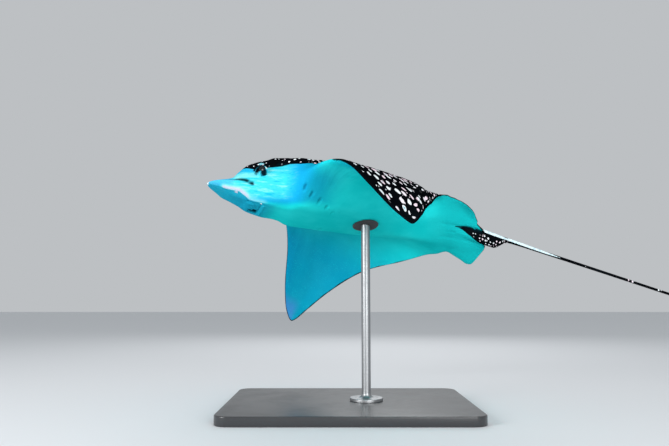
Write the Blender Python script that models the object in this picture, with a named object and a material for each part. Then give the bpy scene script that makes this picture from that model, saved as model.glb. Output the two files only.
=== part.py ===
# Spotted eagle ray: a still, life-size display model held over a plain base by one rod.
# Metres, +Z up. It swims towards -X with its left side towards -Y, raised in a bank.
# The form is drawn flat, in disc widths: s runs back from the snout, y out to the left
# and z up through the back. The same flat form is then curled, banked and set on the stand.

import math

import bmesh
import bpy
import numpy as np
from mathutils import Euler, Vector

# Sizes
DISC_WIDTH = 1.50                     # from wing tip to wing tip, laid flat
GAP = 0.0004                          # clear space between neighbouring pieces
EDGE_HALF = 0.0006                    # half the thickness left at every fin edge
CENTRE_S = 0.30                       # the place on the animal that the pose turns about
CENTRE = Vector((-0.03, 0.0, 0.70))   # where that place stands over the base
HEADING, NOSE_UP, BANK = 15.7, 6.8, 8.7   # degrees, of the head

# Flat outline: half width against the distance back from the snout
LOBE_LENGTH, LOBE_HALF = 0.050, 0.047
WING_TIP, NOTCH, DISC_END = 0.355, 0.570, 0.657
PELVIC_WIDEST = 0.614
OUTLINE = [
    (0.050, 0.047), (0.075, 0.054), (0.100, 0.064), (0.125, 0.071), (0.150, 0.076), (0.170, 0.088),
    (0.200, 0.155), (0.250, 0.295), (0.300, 0.425), (0.335, 0.485), (0.355, 0.500),
    (0.364, 0.487), (0.378, 0.440), (0.400, 0.365), (0.440, 0.262), (0.490, 0.165), (0.535, 0.107),
    (0.558, 0.083), (0.570, 0.078), (0.582, 0.081), (0.602, 0.088), (0.616, 0.094), (0.626, 0.0915),
    (0.635, 0.081), (0.643, 0.061), (0.651, 0.037), (0.657, 0.0158),
]
TAIL = [                              # tail radius
    (0.50, 0.0200), (0.57, 0.0178), (0.62, 0.0162), (0.657, 0.0158), (0.682, 0.0158), (0.694, 0.0142),
    (0.705, 0.0092), (0.713, 0.0062), (0.723, 0.0048), (0.74, 0.0042), (0.76, 0.0039), (0.90, 0.0034),
    (1.50, 0.0027), (2.00, 0.0020), (2.45, 0.0012),
]
TAIL_END = 2.45
WHIP = {"first": 0.684, "last": 0.716, "aside": 0.0074, "lift": 0.0059, "heel": 0.0030}

# Heights along the midline, and how far the round of the back and the belly reaches out
CROWN = [
    (0.0, -0.007), (0.03, -0.002), (0.050, 0.007), (0.062, 0.023), (0.08, 0.0430), (0.105, 0.0560),
    (0.12, 0.0615), (0.14, 0.0710), (0.165, 0.0725), (0.19, 0.0660), (0.215, 0.0640),
    (0.24, 0.0670), (0.27, 0.0655), (0.35, 0.054),
    (0.45, 0.036), (0.55, 0.022), (0.657, 0.006),
]
KEEL = [
    (0.0, -0.014), (0.03, -0.027), (0.06, -0.0400), (0.10, -0.0505), (0.14, -0.0560), (0.20, -0.0555),
    (0.30, -0.052), (0.40, -0.044), (0.50, -0.031), (0.56, -0.019), (0.657, -0.006),
]
EDGE_LINE = [(0.0, -0.012), (0.05, -0.012), (0.10, -0.004), (0.16, 0.0), (0.657, 0.0)]
BACK_REACH = [
    (0.0, 0.050), (0.10, 0.062), (0.16, 0.080), (0.22, 0.095), (0.35, 0.090), (0.5, 0.062),
    (0.657, 0.045),
]
BELLY_REACH = [
    (0.0, 0.060), (0.10, 0.085), (0.16, 0.095), (0.22, 0.105), (0.35, 0.100), (0.5, 0.066),
    (0.657, 0.045),
]

# Pose of the wings: each curls down beyond a slanting line, from a slightly raised root
CURL = {
    "left": {
        "start": 0.006, "width": 0.282, "angle": -54.7, "slant": -27.4, "raise": 7.5,
        "camber": 0.018, "crest": 2.0, "rear": 0.004, "tip": 0.0125, "trail": 0.009,
    },
    "right": {
        "start": 0.096, "width": 0.225, "angle": -58.2, "slant": -29.4, "raise": 9.4,
        "camber": 0.016, "crest": 1.6, "rear": 0.0, "tip": 0.0, "trail": 0.0,
    },
}
ROOT_START, ROOT_WIDTH = 0.05, 0.14   # where the raised root bends
DROOP = 3.0                           # degrees, trailing edge down towards the tips
PELVIC_SKEW = 0.036                   # the left pelvic fin is carried forward, the right one back

# Pose of the body: twist about its own axis, then the course of backbone and tail, in degrees
TWIST = [(0.05, 0.0), (0.33, 7.6), (0.62, 32.5)]
STOOP = [(0.32, 0.0), (0.66, 14.4), (1.15, 14.4), (1.9, 3.0), (2.45, -4.0)]
SWAY = [(0.60, 0.0), (1.15, 0.0), (1.9, 11.0), (2.45, 18.0)]

# Division into pieces
BODY_HALF = 0.105                     # the trunk ends and the wings begin
WING_SPLIT = 0.27
LOBE_START, HEAD_END, TRUNK_END = 0.0010, 0.165, 0.570
TAIL_CUTS = [0.730, 1.20, 1.80, TAIL_END]
CHORD_STEPS, ACROSS_STEPS = 16, 12
EYE = {"s": 0.106, "y": 0.0590, "z": 0.0145, "radius": 0.0125}
DORSAL_FIN = {"start": 0.596, "end": 0.634, "height": 0.021, "lean": 0.014, "half": 0.0019}
STINGS = {                            # s, y and z of their two ends; roll tips them down to the side
    "sting_front": {
        "start": (0.659, 0.0188, -0.0020), "end": (0.718, 0.0178, -0.0046), "half": 0.0040, "roll": -20,
    },
    "sting_rear": {
        "start": (0.711, 0.0148, 0.0010), "end": (0.848, 0.0107, 0.0021), "half": 0.0030, "roll": -42,
    },
}

# Stand
BASE = {"length": 0.80, "depth": 0.60, "height": 0.030, "corner": 0.045, "round": 0.005}
ROD = {"s": 0.365, "radius": 0.015, "foot": 0.055, "foot_height": 0.010, "fillet": 0.014}
SADDLE = {"radius": 0.030, "thick": 0.0040}


# Flat form
def curve(points, x):
    """Smooth curve through the points, with no overshoot."""
    px, py = np.array(points, float).T
    step = np.diff(px)
    slope = np.diff(py) / step
    tangent = np.concatenate([slope[:1], np.zeros(len(px) - 2), slope[-1:]])
    before, after = slope[:-1], slope[1:]
    same = before * after > 0
    tangent[1:-1][same] = 2 * before[same] * after[same] / (before[same] + after[same])
    x = np.clip(x, px[0], px[-1])
    k = np.clip(np.searchsorted(px, x, side="right") - 1, 0, len(step) - 1)
    t = (x - px[k]) / step[k]
    return (
        (1 + 2 * t) * (1 - t) ** 2 * py[k] + t * (1 - t) ** 2 * step[k] * tangent[k]
        + t * t * (3 - 2 * t) * py[k + 1] + t * t * (t - 1) * step[k] * tangent[k + 1]
    )


def ease(low, high, x):
    """Smooth step from 0 at low to 1 at high."""
    t = np.clip((x - low) / (high - low), 0, 1)
    return t * t * (3 - 2 * t)


def bell(x, width):
    """1 in the middle, falling away evenly to both sides."""
    return np.exp(-(x / width) ** 2)


def half_width(s):
    """Half the width of the outline, from the snout to the end of the tail."""
    s = np.asarray(s, float)
    lobe = LOBE_HALF * (1 - (1 - np.clip(s / LOBE_LENGTH, 0, 1)) ** 1.8) ** 0.66
    return np.where(s < LOBE_LENGTH, lobe, np.where(s < DISC_END, curve(OUTLINE, s), curve(TAIL, s)))


def edge_at(first, last, y):
    """Where the outline between two stations is y wide."""
    s = np.linspace(first, last, 300)
    wide = half_width(s)
    return np.interp(y, wide, s) if wide[-1] > wide[0] else np.interp(y, wide[::-1], s[::-1])


def rim(s, y):
    """Distance in from the outline, and how far back a place is between its edges, 0 to 1."""
    y = np.abs(y)
    front = edge_at(0.0, WING_TIP, np.minimum(y, 0.4999))
    in_disc = (s < NOTCH) & (y > 0.078)
    rear = np.where(in_disc, edge_at(WING_TIP, NOTCH, y), edge_at(PELVIC_WIDEST, DISC_END, y))
    across = np.maximum(half_width(s) - y, 1e-6)
    along = np.maximum(np.minimum(s - front, rear - s), 1e-6)
    return across * along / np.hypot(across, along), np.clip((s - front) / (rear - front), 0, 1)


def tail_middle(s):
    """Middle of the tail's section: the whip leaves the root near its top, on the left."""
    along = ease(WHIP["first"], WHIP["last"], s)
    heel = WHIP["heel"] * ease(0.60, DISC_END, s) * (1 - along)
    return WHIP["aside"] * along, WHIP["lift"] * along - heel


def heights(s, y):
    """Height of the back and of the belly over a place on the flat outline."""
    aside, middle = tail_middle(s)
    beside, y = np.abs(y - aside), np.abs(y)
    inward, aft = rim(s, y)
    crown, keel, edge = curve(CROWN, s), curve(KEEL, s), curve(EDGE_LINE, s)
    back = 1 / (1 + (y / curve(BACK_REACH, s)) ** 4)
    belly = 1 / (1 + (y / curve(BELLY_REACH, s)) ** 6)
    fin = 0.0012 + 0.012 * (1 - np.minimum(y / 0.5, 1)) ** 0.9
    fin = fin * ease(0.14, 0.20, s) * (1 - 0.55 * ease(0.2, 1, aft))
    fin = fin * (1 - 0.26 * bell(s - 0.245, 0.030) * bell(y - 0.23, 0.06))   # flatter shoulder
    up = (crown - edge - 0.6 * fin) * back + fin
    down = (edge - keel - 0.6 * fin) * belly + fin

    soft = 0.055 * back + (0.028 + 0.024 * ease(0.08, 0.18, y)) * (1 - y / 0.5) + 0.003
    head = 1 - ease(0.13, 0.22, s)
    wide = half_width(s)
    jaw = soft * (1 - head) + head * np.minimum(0.030, 0.6 * wide + 0.002)
    top_round = np.clip(soft, 0.003, 0.9 * wide + 0.002)
    low_round = np.clip(jaw, 0.003, 0.9 * wide + 0.002)
    top = edge + up * np.sqrt(1 - (1 - np.clip(inward / top_round, 0, 1)) ** 2)
    low = edge - down * np.sqrt(1 - (1 - np.clip(inward / low_round, 0, 1)) ** 2)

    tube = np.sqrt(np.maximum(curve(TAIL, s) ** 2 - beside ** 2, 0)) * ease(0.50, 0.57, s)
    top = np.where(s >= DISC_END, middle + tube, np.maximum(top, edge + middle + tube))
    low = np.where(s >= DISC_END, middle - tube, np.minimum(low, edge + middle - tube))
    edge = np.where(s >= DISC_END, middle, edge)
    thin = EDGE_HALF / DISC_WIDTH
    return np.maximum(top, edge + thin), np.minimum(low, edge - thin)


# Pose
def fold(points, s, y, start, width, angle, slant):
    """Curl everything beyond a slanting line on the wing, evenly over the width."""
    n = (-math.sin(slant), math.cos(slant))
    reach = (s - CENTRE_S) * n[0] * ease(0.05, 0.18, y) + y * n[1]
    steps = np.linspace(0, 1, 101)
    turn = angle * ease(0, 1, steps)
    middle = (turn[1:] + turn[:-1]) / 2
    run = np.concatenate([[0], np.cumsum(np.cos(middle))]) * width / 100
    rise = np.concatenate([[0], np.cumsum(np.sin(middle))]) * width / 100
    t = np.clip((reach - start) / width, 0, 1)
    past = np.maximum(reach - start - width, 0)
    phi = angle * ease(0, 1, t)
    grow = np.interp(t, steps, run) + past * math.cos(angle) - np.maximum(reach - start, 0)
    lift = np.interp(t, steps, rise) + past * math.sin(angle)
    moved = (points[..., 0] - s) * n[0] + (points[..., 1] - y) * n[1]
    z = points[..., 2]
    shift = grow + moved * (np.cos(phi) - 1) - z * np.sin(phi)
    folded = lift + moved * np.sin(phi) + z * np.cos(phi)
    return np.stack([points[..., 0] + shift * n[0], points[..., 1] + shift * n[1], folded], -1)


def wing_pose(s, y, z, side):
    """One half of the flat form with its wing curled."""
    curl = CURL[side]
    aft = rim(s, y)[1]
    lift = curl["camber"] * np.sin(np.pi * aft ** curl["crest"]) * (1 - ease(0.35, 0.50, y))
    lift = lift + curl["rear"] * bell(aft - 0.82, 0.13) * (1 - ease(0.30, 0.42, y))
    tip = curl["tip"] * ease(0.38, 0.48, y)
    trail = curl["trail"] * ease(0.55, 1.0, aft) * bell(y - 0.335, 0.085)
    points = np.stack([
        s - tip * (0.36 + 0.48 * ease(0.33, 0.36, s)) + trail, y + tip, z + lift * ease(0.10, 0.20, y),
    ], -1)
    points = fold(
        points, s, y, curl["start"], curl["width"], math.radians(curl["angle"]), math.radians(curl["slant"])
    )
    points = fold(points, s, y, ROOT_START, ROOT_WIDTH, math.radians(curl["raise"]), 0.0)
    behind = points[..., 0] - 0.33
    behind = np.where(behind > 0, behind, 0.3 * behind)
    points[..., 2] -= behind * np.sin(math.radians(DROOP) * ease(0.10, 0.45, y))
    if side == "left":                # its pelvic fin is drawn in and rounded, and closes up to the wing
        points[..., 1] += 0.017 * bell(s - 0.566, 0.024) * np.clip(y / 0.08, 0, 1) ** 3
        points[..., 1] -= 0.019 * ease(0.595, 0.635, s) * ease(0.025, 0.07, y)
        drawn_in = 0.006 * ease(0.62, 0.65, s) + 0.010 * ease(0.642, 0.657, s) * (1 - ease(0.030, 0.060, y))
        points[..., 0] -= drawn_in * ease(0.018, 0.03, y)
    else:                             # its inner corner trails back beside the tail
        trailing = 0.010 * (1 - np.clip((y - 0.022) / 0.053, 0, 1))
        points[..., 0] += trailing * ease(0.60, 0.655, s) * ease(0.0165, 0.028, y)
        ripple = 0.006 * bell(s - 0.548, 0.012) - 0.005 * bell(s - 0.485, 0.018)
        points[..., 1] += ripple * ease(0.03, 0.08, y)
        points[..., 1] *= -1
    place_s = points[..., 0]
    skew = PELVIC_SKEW * ease(0.43, 0.60, place_s) * (1 - ease(0.66, 0.70, place_s))
    points[..., 0] = place_s - skew * points[..., 1] / 0.09
    return points


def backbone():
    """Places and directions along the backbone and tail, before the whole animal is turned."""
    s = np.linspace(-0.05, TAIL_END + 0.05, 1500)
    stoop, sway = np.radians(curve(STOOP, s)), np.radians(curve(SWAY, s))
    twist = math.radians(TWIST[-1][1])
    left, dorsal = np.sin(sway), -np.sin(stoop) * np.cos(sway)
    direction = np.stack([
        np.cos(sway) * np.cos(stoop),
        left * math.cos(twist) - dorsal * math.sin(twist),
        left * math.sin(twist) + dorsal * math.cos(twist),
    ], -1)
    place = np.cumsum(direction, 0) * (s[1] - s[0])
    place -= np.array([np.interp(CENTRE_S, s, place[:, i]) for i in range(3)])
    return s, place, direction


SPINE_S, SPINE_PLACE, SPINE_DIRECTION = backbone()
TURN = np.array(Euler((-math.radians(BANK), math.radians(NOSE_UP), math.radians(HEADING))).to_matrix())


def place(s, y, z):
    """Posed world positions of flat places; y is positive on the left."""
    s, y, z = np.broadcast_arrays(np.asarray(s, float), np.asarray(y, float), np.asarray(z, float))
    half = np.abs(y)
    left, right = wing_pose(s, half, z, "left"), wing_pose(s, half, z, "right")
    points = np.where((y >= 0)[..., None], left, right)
    s, y, z = points[..., 0], points[..., 1], points[..., 2]
    middle = TWIST[1][1]
    twist = np.radians(middle + (curve(TWIST, s) - middle) * (1 - 0.65 * ease(0.08, 0.30, np.abs(y))))
    cos, sin = np.cos(twist), np.sin(twist)
    across = np.stack([0 * y, y * cos - z * sin, y * sin + z * cos], -1)
    ahead = np.stack([np.interp(s, SPINE_S, SPINE_DIRECTION[:, i]) for i in range(3)], -1)
    centre = np.stack([np.interp(s, SPINE_S, SPINE_PLACE[:, i]) for i in range(3)], -1)
    axis = np.stack([0 * s, -ahead[..., 2], ahead[..., 1]], -1)
    swung = np.cross(axis, across)
    posed = centre + across + swung + np.cross(axis, swung) / (1 + ahead[..., :1])
    return posed * np.array([1, -1, 1]) * DISC_WIDTH @ TURN.T + np.array(CENTRE)


# Building
def material(name, colour, roughness, metallic=0.0):
    made = bpy.data.materials.new(name)
    made.use_nodes = True
    shader = made.node_tree.nodes["Principled BSDF"]
    shader.inputs["Base Color"].default_value = (*colour, 1)
    shader.inputs["Roughness"].default_value = roughness
    shader.inputs["Metallic"].default_value = metallic
    return made


def finish(name, bm, colour, roughness, metallic=0.0):
    """Turn a bmesh into a named object with its own material."""
    bmesh.ops.recalc_face_normals(bm, faces=bm.faces)
    if bm.calc_volume(signed=True) < 0:
        bmesh.ops.reverse_faces(bm, faces=bm.faces)
    mesh = bpy.data.meshes.new(name)
    bm.to_mesh(mesh)
    bm.free()
    mesh.materials.append(material(name, colour, roughness, metallic))
    made = bpy.data.objects.new(name, mesh)
    bpy.context.scene.collection.objects.link(made)
    return made


def grid_cell(vert, rows, columns):
    """Row and column of a corner of a fresh grid."""
    return round((vert.co.x + 1) / 2 * (rows - 1)), round((vert.co.y + 1) / 2 * (columns - 1))


def slab(name, top, low, colour, roughness=0.45, metallic=0.0):
    """Closed solid between two matching grids of world positions."""
    rows, columns = top.shape[:2]
    bm = bmesh.new()
    bmesh.ops.create_grid(bm, x_segments=rows - 1, y_segments=columns - 1, size=1)
    under = {grid_cell(vert, rows, columns): vert for vert in bm.verts}
    grown = bmesh.ops.extrude_face_region(bm, geom=bm.faces[:])["geom"]
    grown = [vert for vert in grown if isinstance(vert, bmesh.types.BMVert)]
    over = {grid_cell(vert, rows, columns): vert for vert in grown}
    for grid, verts in ((top, over), (low, under)):
        for cell, vert in verts.items():
            vert.co = Vector(grid[cell])
    # facing walls of two pieces are split the same way, so that they keep their gap
    sides = [[(i, j) for i in range(rows)] for j in (0, columns - 1)]
    sides += [[(i, j) for j in range(columns)] for i in (0, rows - 1)]
    for side in sides:
        for cell, after in zip(side[:-1], side[1:]):
            bmesh.ops.connect_vert_pair(bm, verts=(over[cell], under[after]))
    return finish(name, bm, colour, roughness, metallic)


def body_slab(name, s, y, colour):
    """Piece of the animal over a grid of flat places."""
    top, low = heights(s, y)
    return slab(name, place(s, y, top), place(s, y, low), colour)


def spread(count):
    """Steps from -1 to 1, closer together towards the ends."""
    return np.sin(np.linspace(-1, 1, count + 1) * np.pi / 2)


BACK, BELLY = (0.020, 0.024, 0.030), (0.42, 0.70, 0.66)
gap = GAP / 2 / DISC_WIDTH


def build_middle():
    """Rostral lobe, head, trunk and tail, in one run of pieces along the midline."""
    wall = [edge_at(0.0, WING_TIP, BODY_HALF), edge_at(WING_TIP, NOTCH, BODY_HALF)]
    chord = (1 + spread(CHORD_STEPS)) / 2
    trunk = wall[0] + chord * (wall[1] - wall[0])
    half = CHORD_STEPS // 2
    runs = {
        "rostral_lobe": LOBE_START + (LOBE_LENGTH - LOBE_START) * np.linspace(0, 1, 8) ** 1.5,
        "head": np.linspace(LOBE_LENGTH, HEAD_END, 12),
        "trunk_front": np.concatenate([[HEAD_END], trunk[:half + 1]]),
        "trunk_rear": np.concatenate([trunk[half:], [0.547, 0.559, TRUNK_END]]),
    }
    for name, s in runs.items():
        s = s.copy()
        s[0] += gap
        s[-1] -= gap
        wide = np.minimum(half_width(s), BODY_HALF - gap)
        columns = spread(ACROSS_STEPS)
        body_slab(name, s[:, None] + 0 * columns, wide[:, None] * columns, BELLY)
    return trunk


def build_tail(beside):
    """Tail root between the pelvic fins, then the whip in a few lengths."""
    cuts = [beside[-1]] + TAIL_CUTS
    for name, first, last in zip(["tail_root", "tail_front", "tail_middle", "tail_tip"], cuts[:-1], cuts[1:]):
        s = np.linspace(first + gap, last - gap, 12)
        if name == "tail_root":
            s = np.concatenate([beside, np.linspace(first, last - gap, 11)[1:]])
        columns = spread(8 if name == "tail_root" else 6)
        middle = np.where(s < DISC_END, 0.0, tail_middle(s)[0])[:, None]
        body_slab(name, s[:, None] + 0 * columns, middle + curve(TAIL, s)[:, None] * columns, BACK)


def build_wings(trunk):
    """Each wing in an inner and an outer piece."""
    chord = (trunk - trunk[0]) / (trunk[-1] - trunk[0])
    inner = BODY_HALF + gap + (WING_SPLIT - gap - BODY_HALF - gap) * np.linspace(0, 1, 8)
    outer = WING_SPLIT + gap + (0.4992 - WING_SPLIT - gap) * (1 - (1 - np.linspace(0, 1, 11)) ** 1.6)
    for side, sign in (("left", 1), ("right", -1)):
        for part, spans in (("inner", inner), ("outer", outer)):
            front, rear = edge_at(0.0, WING_TIP, spans), edge_at(WING_TIP, NOTCH, spans)
            s = front[:, None] + (rear - front)[:, None] * chord
            body_slab(f"wing_{side}_{part}", s, sign * (spans[:, None] + 0 * s), BACK)


def build_pelvic_fins():
    """Pelvic fins, either side of the tail root."""
    s = np.linspace(TRUNK_END + gap, 0.654, 11)
    inner = curve(TAIL, s) + GAP / DISC_WIDTH
    for side, sign in (("left", 1), ("right", -1)):
        steps = np.linspace(0, 1, 7)
        y = inner[:, None] + (half_width(s) - inner)[:, None] * np.sin(steps * np.pi / 2)
        body_slab(f"pelvic_fin_{side}", s[:, None] + 0 * y, sign * y, BELLY)
    return s


def build_dorsal_fin():
    """Small upright fin on the tail root, leaning back."""
    fin = DORSAL_FIN
    u, v = np.meshgrid(np.linspace(0, 1, 7), np.linspace(0, 1, 5), indexing="ij")
    s = fin["start"] + (fin["end"] - fin["start"]) * u * (1 - 0.62 * v) + (fin["lean"] + 0.012) * v
    foot = heights(s, 0 * s)[0] + 5 * gap
    z = foot + fin["height"] * v * (0.35 + 0.65 * np.sin(np.pi * (0.18 + 0.62 * u)))
    thick = fin["half"] * (1 - 0.6 * v) * np.sin(np.pi * (0.08 + 0.84 * u))
    slab("dorsal_fin", place(s, thick, z), place(s, -thick, z), BACK)


def build_stings():
    """Two barbed spines lying back along the near side of the tail."""
    for name, sting in STINGS.items():
        u, v = np.meshgrid(np.linspace(0, 1, 9), spread(4), indexing="ij")
        s, y, z = (a + (b - a) * u for a, b in zip(sting["start"], sting["end"]))
        half = sting["half"] * np.clip(1 - u ** 4, 0.14, 1)
        rise = 0.55 * half * np.sqrt(1.02 - v ** 2)
        cos, sin = math.cos(math.radians(sting["roll"])), math.sin(math.radians(sting["roll"]))
        outer = place(s, y - sin * half * v + cos * rise, z + cos * half * v + sin * rise)
        inner = place(s, y - sin * half * v - cos * rise, z + cos * half * v - sin * rise)
        slab(name, outer, inner, (0.80, 0.78, 0.70), 0.35)


def build_eyes():
    """Eyeballs, each in a socket cut into the head."""
    head = bpy.data.objects["head"]
    for side, sign in (("left", 1), ("right", -1)):
        centre = Vector(place(EYE["s"], sign * EYE["y"], EYE["z"]))
        radius = EYE["radius"] * DISC_WIDTH
        for name, size in ((f"eye_{side}", radius), ("socket", radius + GAP)):
            bm = bmesh.new()
            bmesh.ops.create_uvsphere(bm, u_segments=16, v_segments=9, radius=size)
            ball = finish(name, bm, (0.01, 0.01, 0.012), 0.08)
            for vert in ball.data.vertices:
                vert.co += centre
        cut = head.modifiers.new("socket", "BOOLEAN")
        cut.operation, cut.solver, cut.object = "DIFFERENCE", "EXACT", ball
        bpy.context.view_layer.update()
        graph = bpy.context.evaluated_depsgraph_get()
        carved = bpy.data.meshes.new_from_object(head.evaluated_get(graph))
        head.modifiers.remove(cut)
        head.data = carved
        bpy.data.objects.remove(ball)
    while len(head.data.materials) > 1:
        head.data.materials.pop()


def build_saddle():
    """Thin pad that follows the belly, on top of the rod."""
    a, b = np.meshgrid(np.linspace(-1, 1, 8), np.linspace(-1, 1, 8), indexing="ij")
    s = ROD["s"] + SADDLE["radius"] * a * np.sqrt(1 - b * b / 2)
    y = SADDLE["radius"] * b * np.sqrt(1 - a * a / 2)
    low = heights(s, y)[1] - GAP / DISC_WIDTH
    slab(
        "stand_saddle", place(s, y, low), place(s, y, low - SADDLE["thick"] / DISC_WIDTH),
        (0.05, 0.05, 0.055), 0.7,
    )


def build_rod():
    """Upright rod with a round foot, its top cut to the slope of the saddle."""
    under = float(heights(ROD["s"], 0.0)[1]) - (6 * GAP + SADDLE["thick"]) / DISC_WIDTH
    top = Vector(place(ROD["s"], 0.0, under))
    along = Vector(place(ROD["s"] + 0.01, 0.0, under)) - top
    across = Vector(place(ROD["s"], 0.01, under)) - top
    normal = along.cross(across)
    level = BASE["height"] + GAP
    foot, radius, fillet = ROD["foot"], ROD["radius"], ROD["fillet"]
    profile = [(foot, 0.0), (foot, ROD["foot_height"] - 0.002), (foot - 0.002, ROD["foot_height"])]
    for step in range(5):
        angle = step / 4 * math.pi / 2
        out, up = 1 - math.sin(angle), 1 - math.cos(angle)
        profile.append((radius + fillet * out, ROD["foot_height"] + fillet * up))
    bm = bmesh.new()
    sides = 24
    rings = []
    for r, z in profile + [(radius, None)]:
        ring = []
        for side in range(sides):
            x, y = (r * f(math.tau * side / sides) for f in (math.cos, math.sin))
            height = top.z - (normal.x * x + normal.y * y) / normal.z if z is None else level + z
            ring.append(bm.verts.new((top.x + x, top.y + y, height)))
        rings.append(ring)
    for low, high in zip(rings[:-1], rings[1:]):
        for side in range(sides):
            after = (side + 1) % sides
            bm.faces.new((low[side], low[after], high[after], high[side]))
    bm.faces.new(rings[0][::-1])
    bm.faces.new(rings[-1])
    finish("stand_rod", bm, (0.62, 0.63, 0.65), 0.28, 1.0)


def build_base():
    """Flat board with rounded corners."""
    bm = bmesh.new()
    bmesh.ops.create_cube(bm, size=1)
    bmesh.ops.scale(bm, verts=bm.verts, vec=(BASE["length"], BASE["depth"], BASE["height"]))
    bmesh.ops.translate(bm, verts=bm.verts, vec=(0, 0, BASE["height"] / 2))
    upright = [edge for edge in bm.edges if abs(edge.verts[0].co.z - edge.verts[1].co.z) > 0.001]
    bmesh.ops.bevel(bm, geom=upright, offset=BASE["corner"], segments=5, profile=0.5, affect="EDGES")
    rim_edges = [edge for edge in bm.edges if min(vert.co.z for vert in edge.verts) > BASE["height"] - 0.001]
    bmesh.ops.bevel(bm, geom=rim_edges, offset=BASE["round"], segments=2, profile=0.5, affect="EDGES")
    finish("stand_base", bm, (0.06, 0.06, 0.065), 0.4)


def main():
    for old in list(bpy.data.objects):
        bpy.data.objects.remove(old, do_unlink=True)
    trunk = build_middle()
    build_wings(trunk)
    beside = build_pelvic_fins()
    build_tail(beside)
    build_dorsal_fin()
    build_stings()
    build_eyes()
    build_base()
    build_rod()
    build_saddle()


main()
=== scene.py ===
import math

import bmesh
import bpy
import numpy as np
from mathutils import Euler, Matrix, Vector


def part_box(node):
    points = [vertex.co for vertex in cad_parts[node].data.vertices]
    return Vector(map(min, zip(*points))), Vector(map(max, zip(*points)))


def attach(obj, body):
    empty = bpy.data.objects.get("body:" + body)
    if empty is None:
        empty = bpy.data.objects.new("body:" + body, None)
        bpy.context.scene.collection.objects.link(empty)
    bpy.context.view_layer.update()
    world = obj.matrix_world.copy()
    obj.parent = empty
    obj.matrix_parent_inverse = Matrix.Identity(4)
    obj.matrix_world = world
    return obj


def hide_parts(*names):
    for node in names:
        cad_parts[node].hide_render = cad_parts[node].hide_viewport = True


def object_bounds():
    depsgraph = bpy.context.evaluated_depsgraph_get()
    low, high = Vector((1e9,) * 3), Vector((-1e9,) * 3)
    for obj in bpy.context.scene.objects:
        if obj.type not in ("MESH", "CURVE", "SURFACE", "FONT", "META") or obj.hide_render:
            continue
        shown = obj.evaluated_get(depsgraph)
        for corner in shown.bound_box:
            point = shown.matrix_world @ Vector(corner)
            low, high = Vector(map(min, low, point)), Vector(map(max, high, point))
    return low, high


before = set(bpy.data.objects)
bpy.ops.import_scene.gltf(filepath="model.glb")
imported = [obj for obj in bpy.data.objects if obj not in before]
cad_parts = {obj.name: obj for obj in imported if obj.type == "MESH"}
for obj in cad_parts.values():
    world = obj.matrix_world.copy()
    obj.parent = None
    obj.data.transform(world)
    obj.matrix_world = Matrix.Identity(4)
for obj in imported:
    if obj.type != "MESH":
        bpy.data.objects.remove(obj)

# Spotted eagle ray on a display stand: one skin over the whole animal, its eyes and stings,
# and the stand. The form is drawn flat in disc widths (s back from the snout, y out to the
# left, z up through the back), carved, and then curled, banked and set on the stand.
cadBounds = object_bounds()
print("frame loaded:", len(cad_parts), "nodes")

form = {
    "discWidth": 1.50,  # metres from wing tip to wing tip, laid flat
    "edgeHalf": 0.0006,  # half the thickness of every fin edge, metres
    "lobeLength": 0.050, "lobeHalf": 0.047,
    "wingTip": 0.355, "notch": 0.570, "pelvicWidest": 0.614, "discEnd": 0.657, "tailEnd": 2.45,
    "outline": [
        (0.050, 0.047), (0.075, 0.054), (0.100, 0.064), (0.125, 0.071), (0.150, 0.076),
        (0.170, 0.088), (0.200, 0.155), (0.250, 0.295), (0.300, 0.425), (0.335, 0.485),
        (0.355, 0.500), (0.364, 0.487), (0.378, 0.440), (0.400, 0.365), (0.440, 0.262),
        (0.490, 0.165), (0.535, 0.107), (0.558, 0.083), (0.570, 0.078), (0.582, 0.081),
        (0.602, 0.088), (0.616, 0.094), (0.626, 0.0915), (0.635, 0.081), (0.643, 0.061),
        (0.651, 0.037), (0.657, 0.0158),
    ],
    "tail": [
        (0.50, 0.0200), (0.57, 0.0178), (0.62, 0.0162), (0.657, 0.0158), (0.682, 0.0158),
        (0.694, 0.0142), (0.705, 0.0092), (0.713, 0.0062), (0.723, 0.0048), (0.74, 0.0042),
        (0.76, 0.0039), (0.90, 0.0034), (1.50, 0.0027), (2.00, 0.0020), (2.45, 0.0012),
    ],
    "whip": {"first": 0.684, "last": 0.716, "aside": 0.0074, "lift": 0.0059, "heel": 0.0030},
    "crown": [
        (0.0, -0.007), (0.03, -0.002), (0.050, 0.007), (0.062, 0.023), (0.08, 0.0430),
        (0.105, 0.0560), (0.12, 0.0615), (0.14, 0.0710), (0.165, 0.0725), (0.19, 0.0660),
        (0.215, 0.0640), (0.24, 0.0670), (0.27, 0.0655), (0.35, 0.054), (0.45, 0.036), (0.55, 0.022),
        (0.657, 0.006),
    ],
    "keel": [
        (0.0, -0.014), (0.03, -0.027), (0.06, -0.0400), (0.10, -0.0505), (0.14, -0.0560),
        (0.20, -0.0555), (0.30, -0.052), (0.40, -0.044), (0.50, -0.031), (0.56, -0.019),
        (0.657, -0.006),
    ],
    "edgeLine": [(0.0, -0.012), (0.05, -0.012), (0.10, -0.004), (0.16, 0.0), (0.657, 0.0)],
    "backReach": [
        (0.0, 0.050), (0.10, 0.062), (0.16, 0.080), (0.22, 0.095), (0.35, 0.090),
        (0.5, 0.062), (0.657, 0.045),
    ],
    "bellyReach": [
        (0.0, 0.060), (0.10, 0.085), (0.16, 0.095), (0.22, 0.105), (0.35, 0.100),
        (0.5, 0.066), (0.657, 0.045),
    ],
    "fin": {"least": 0.0012, "root": 0.012, "thinAft": 0.55},  # how far the fins swell to each side
    "shoulder": {"s": 0.245, "y": 0.23, "long": 0.030, "wide": 0.06, "flatter": 0.26},
    "tubeFrom": (0.50, 0.57),  # where the tail's round root starts to stand out of the disc
}

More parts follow.
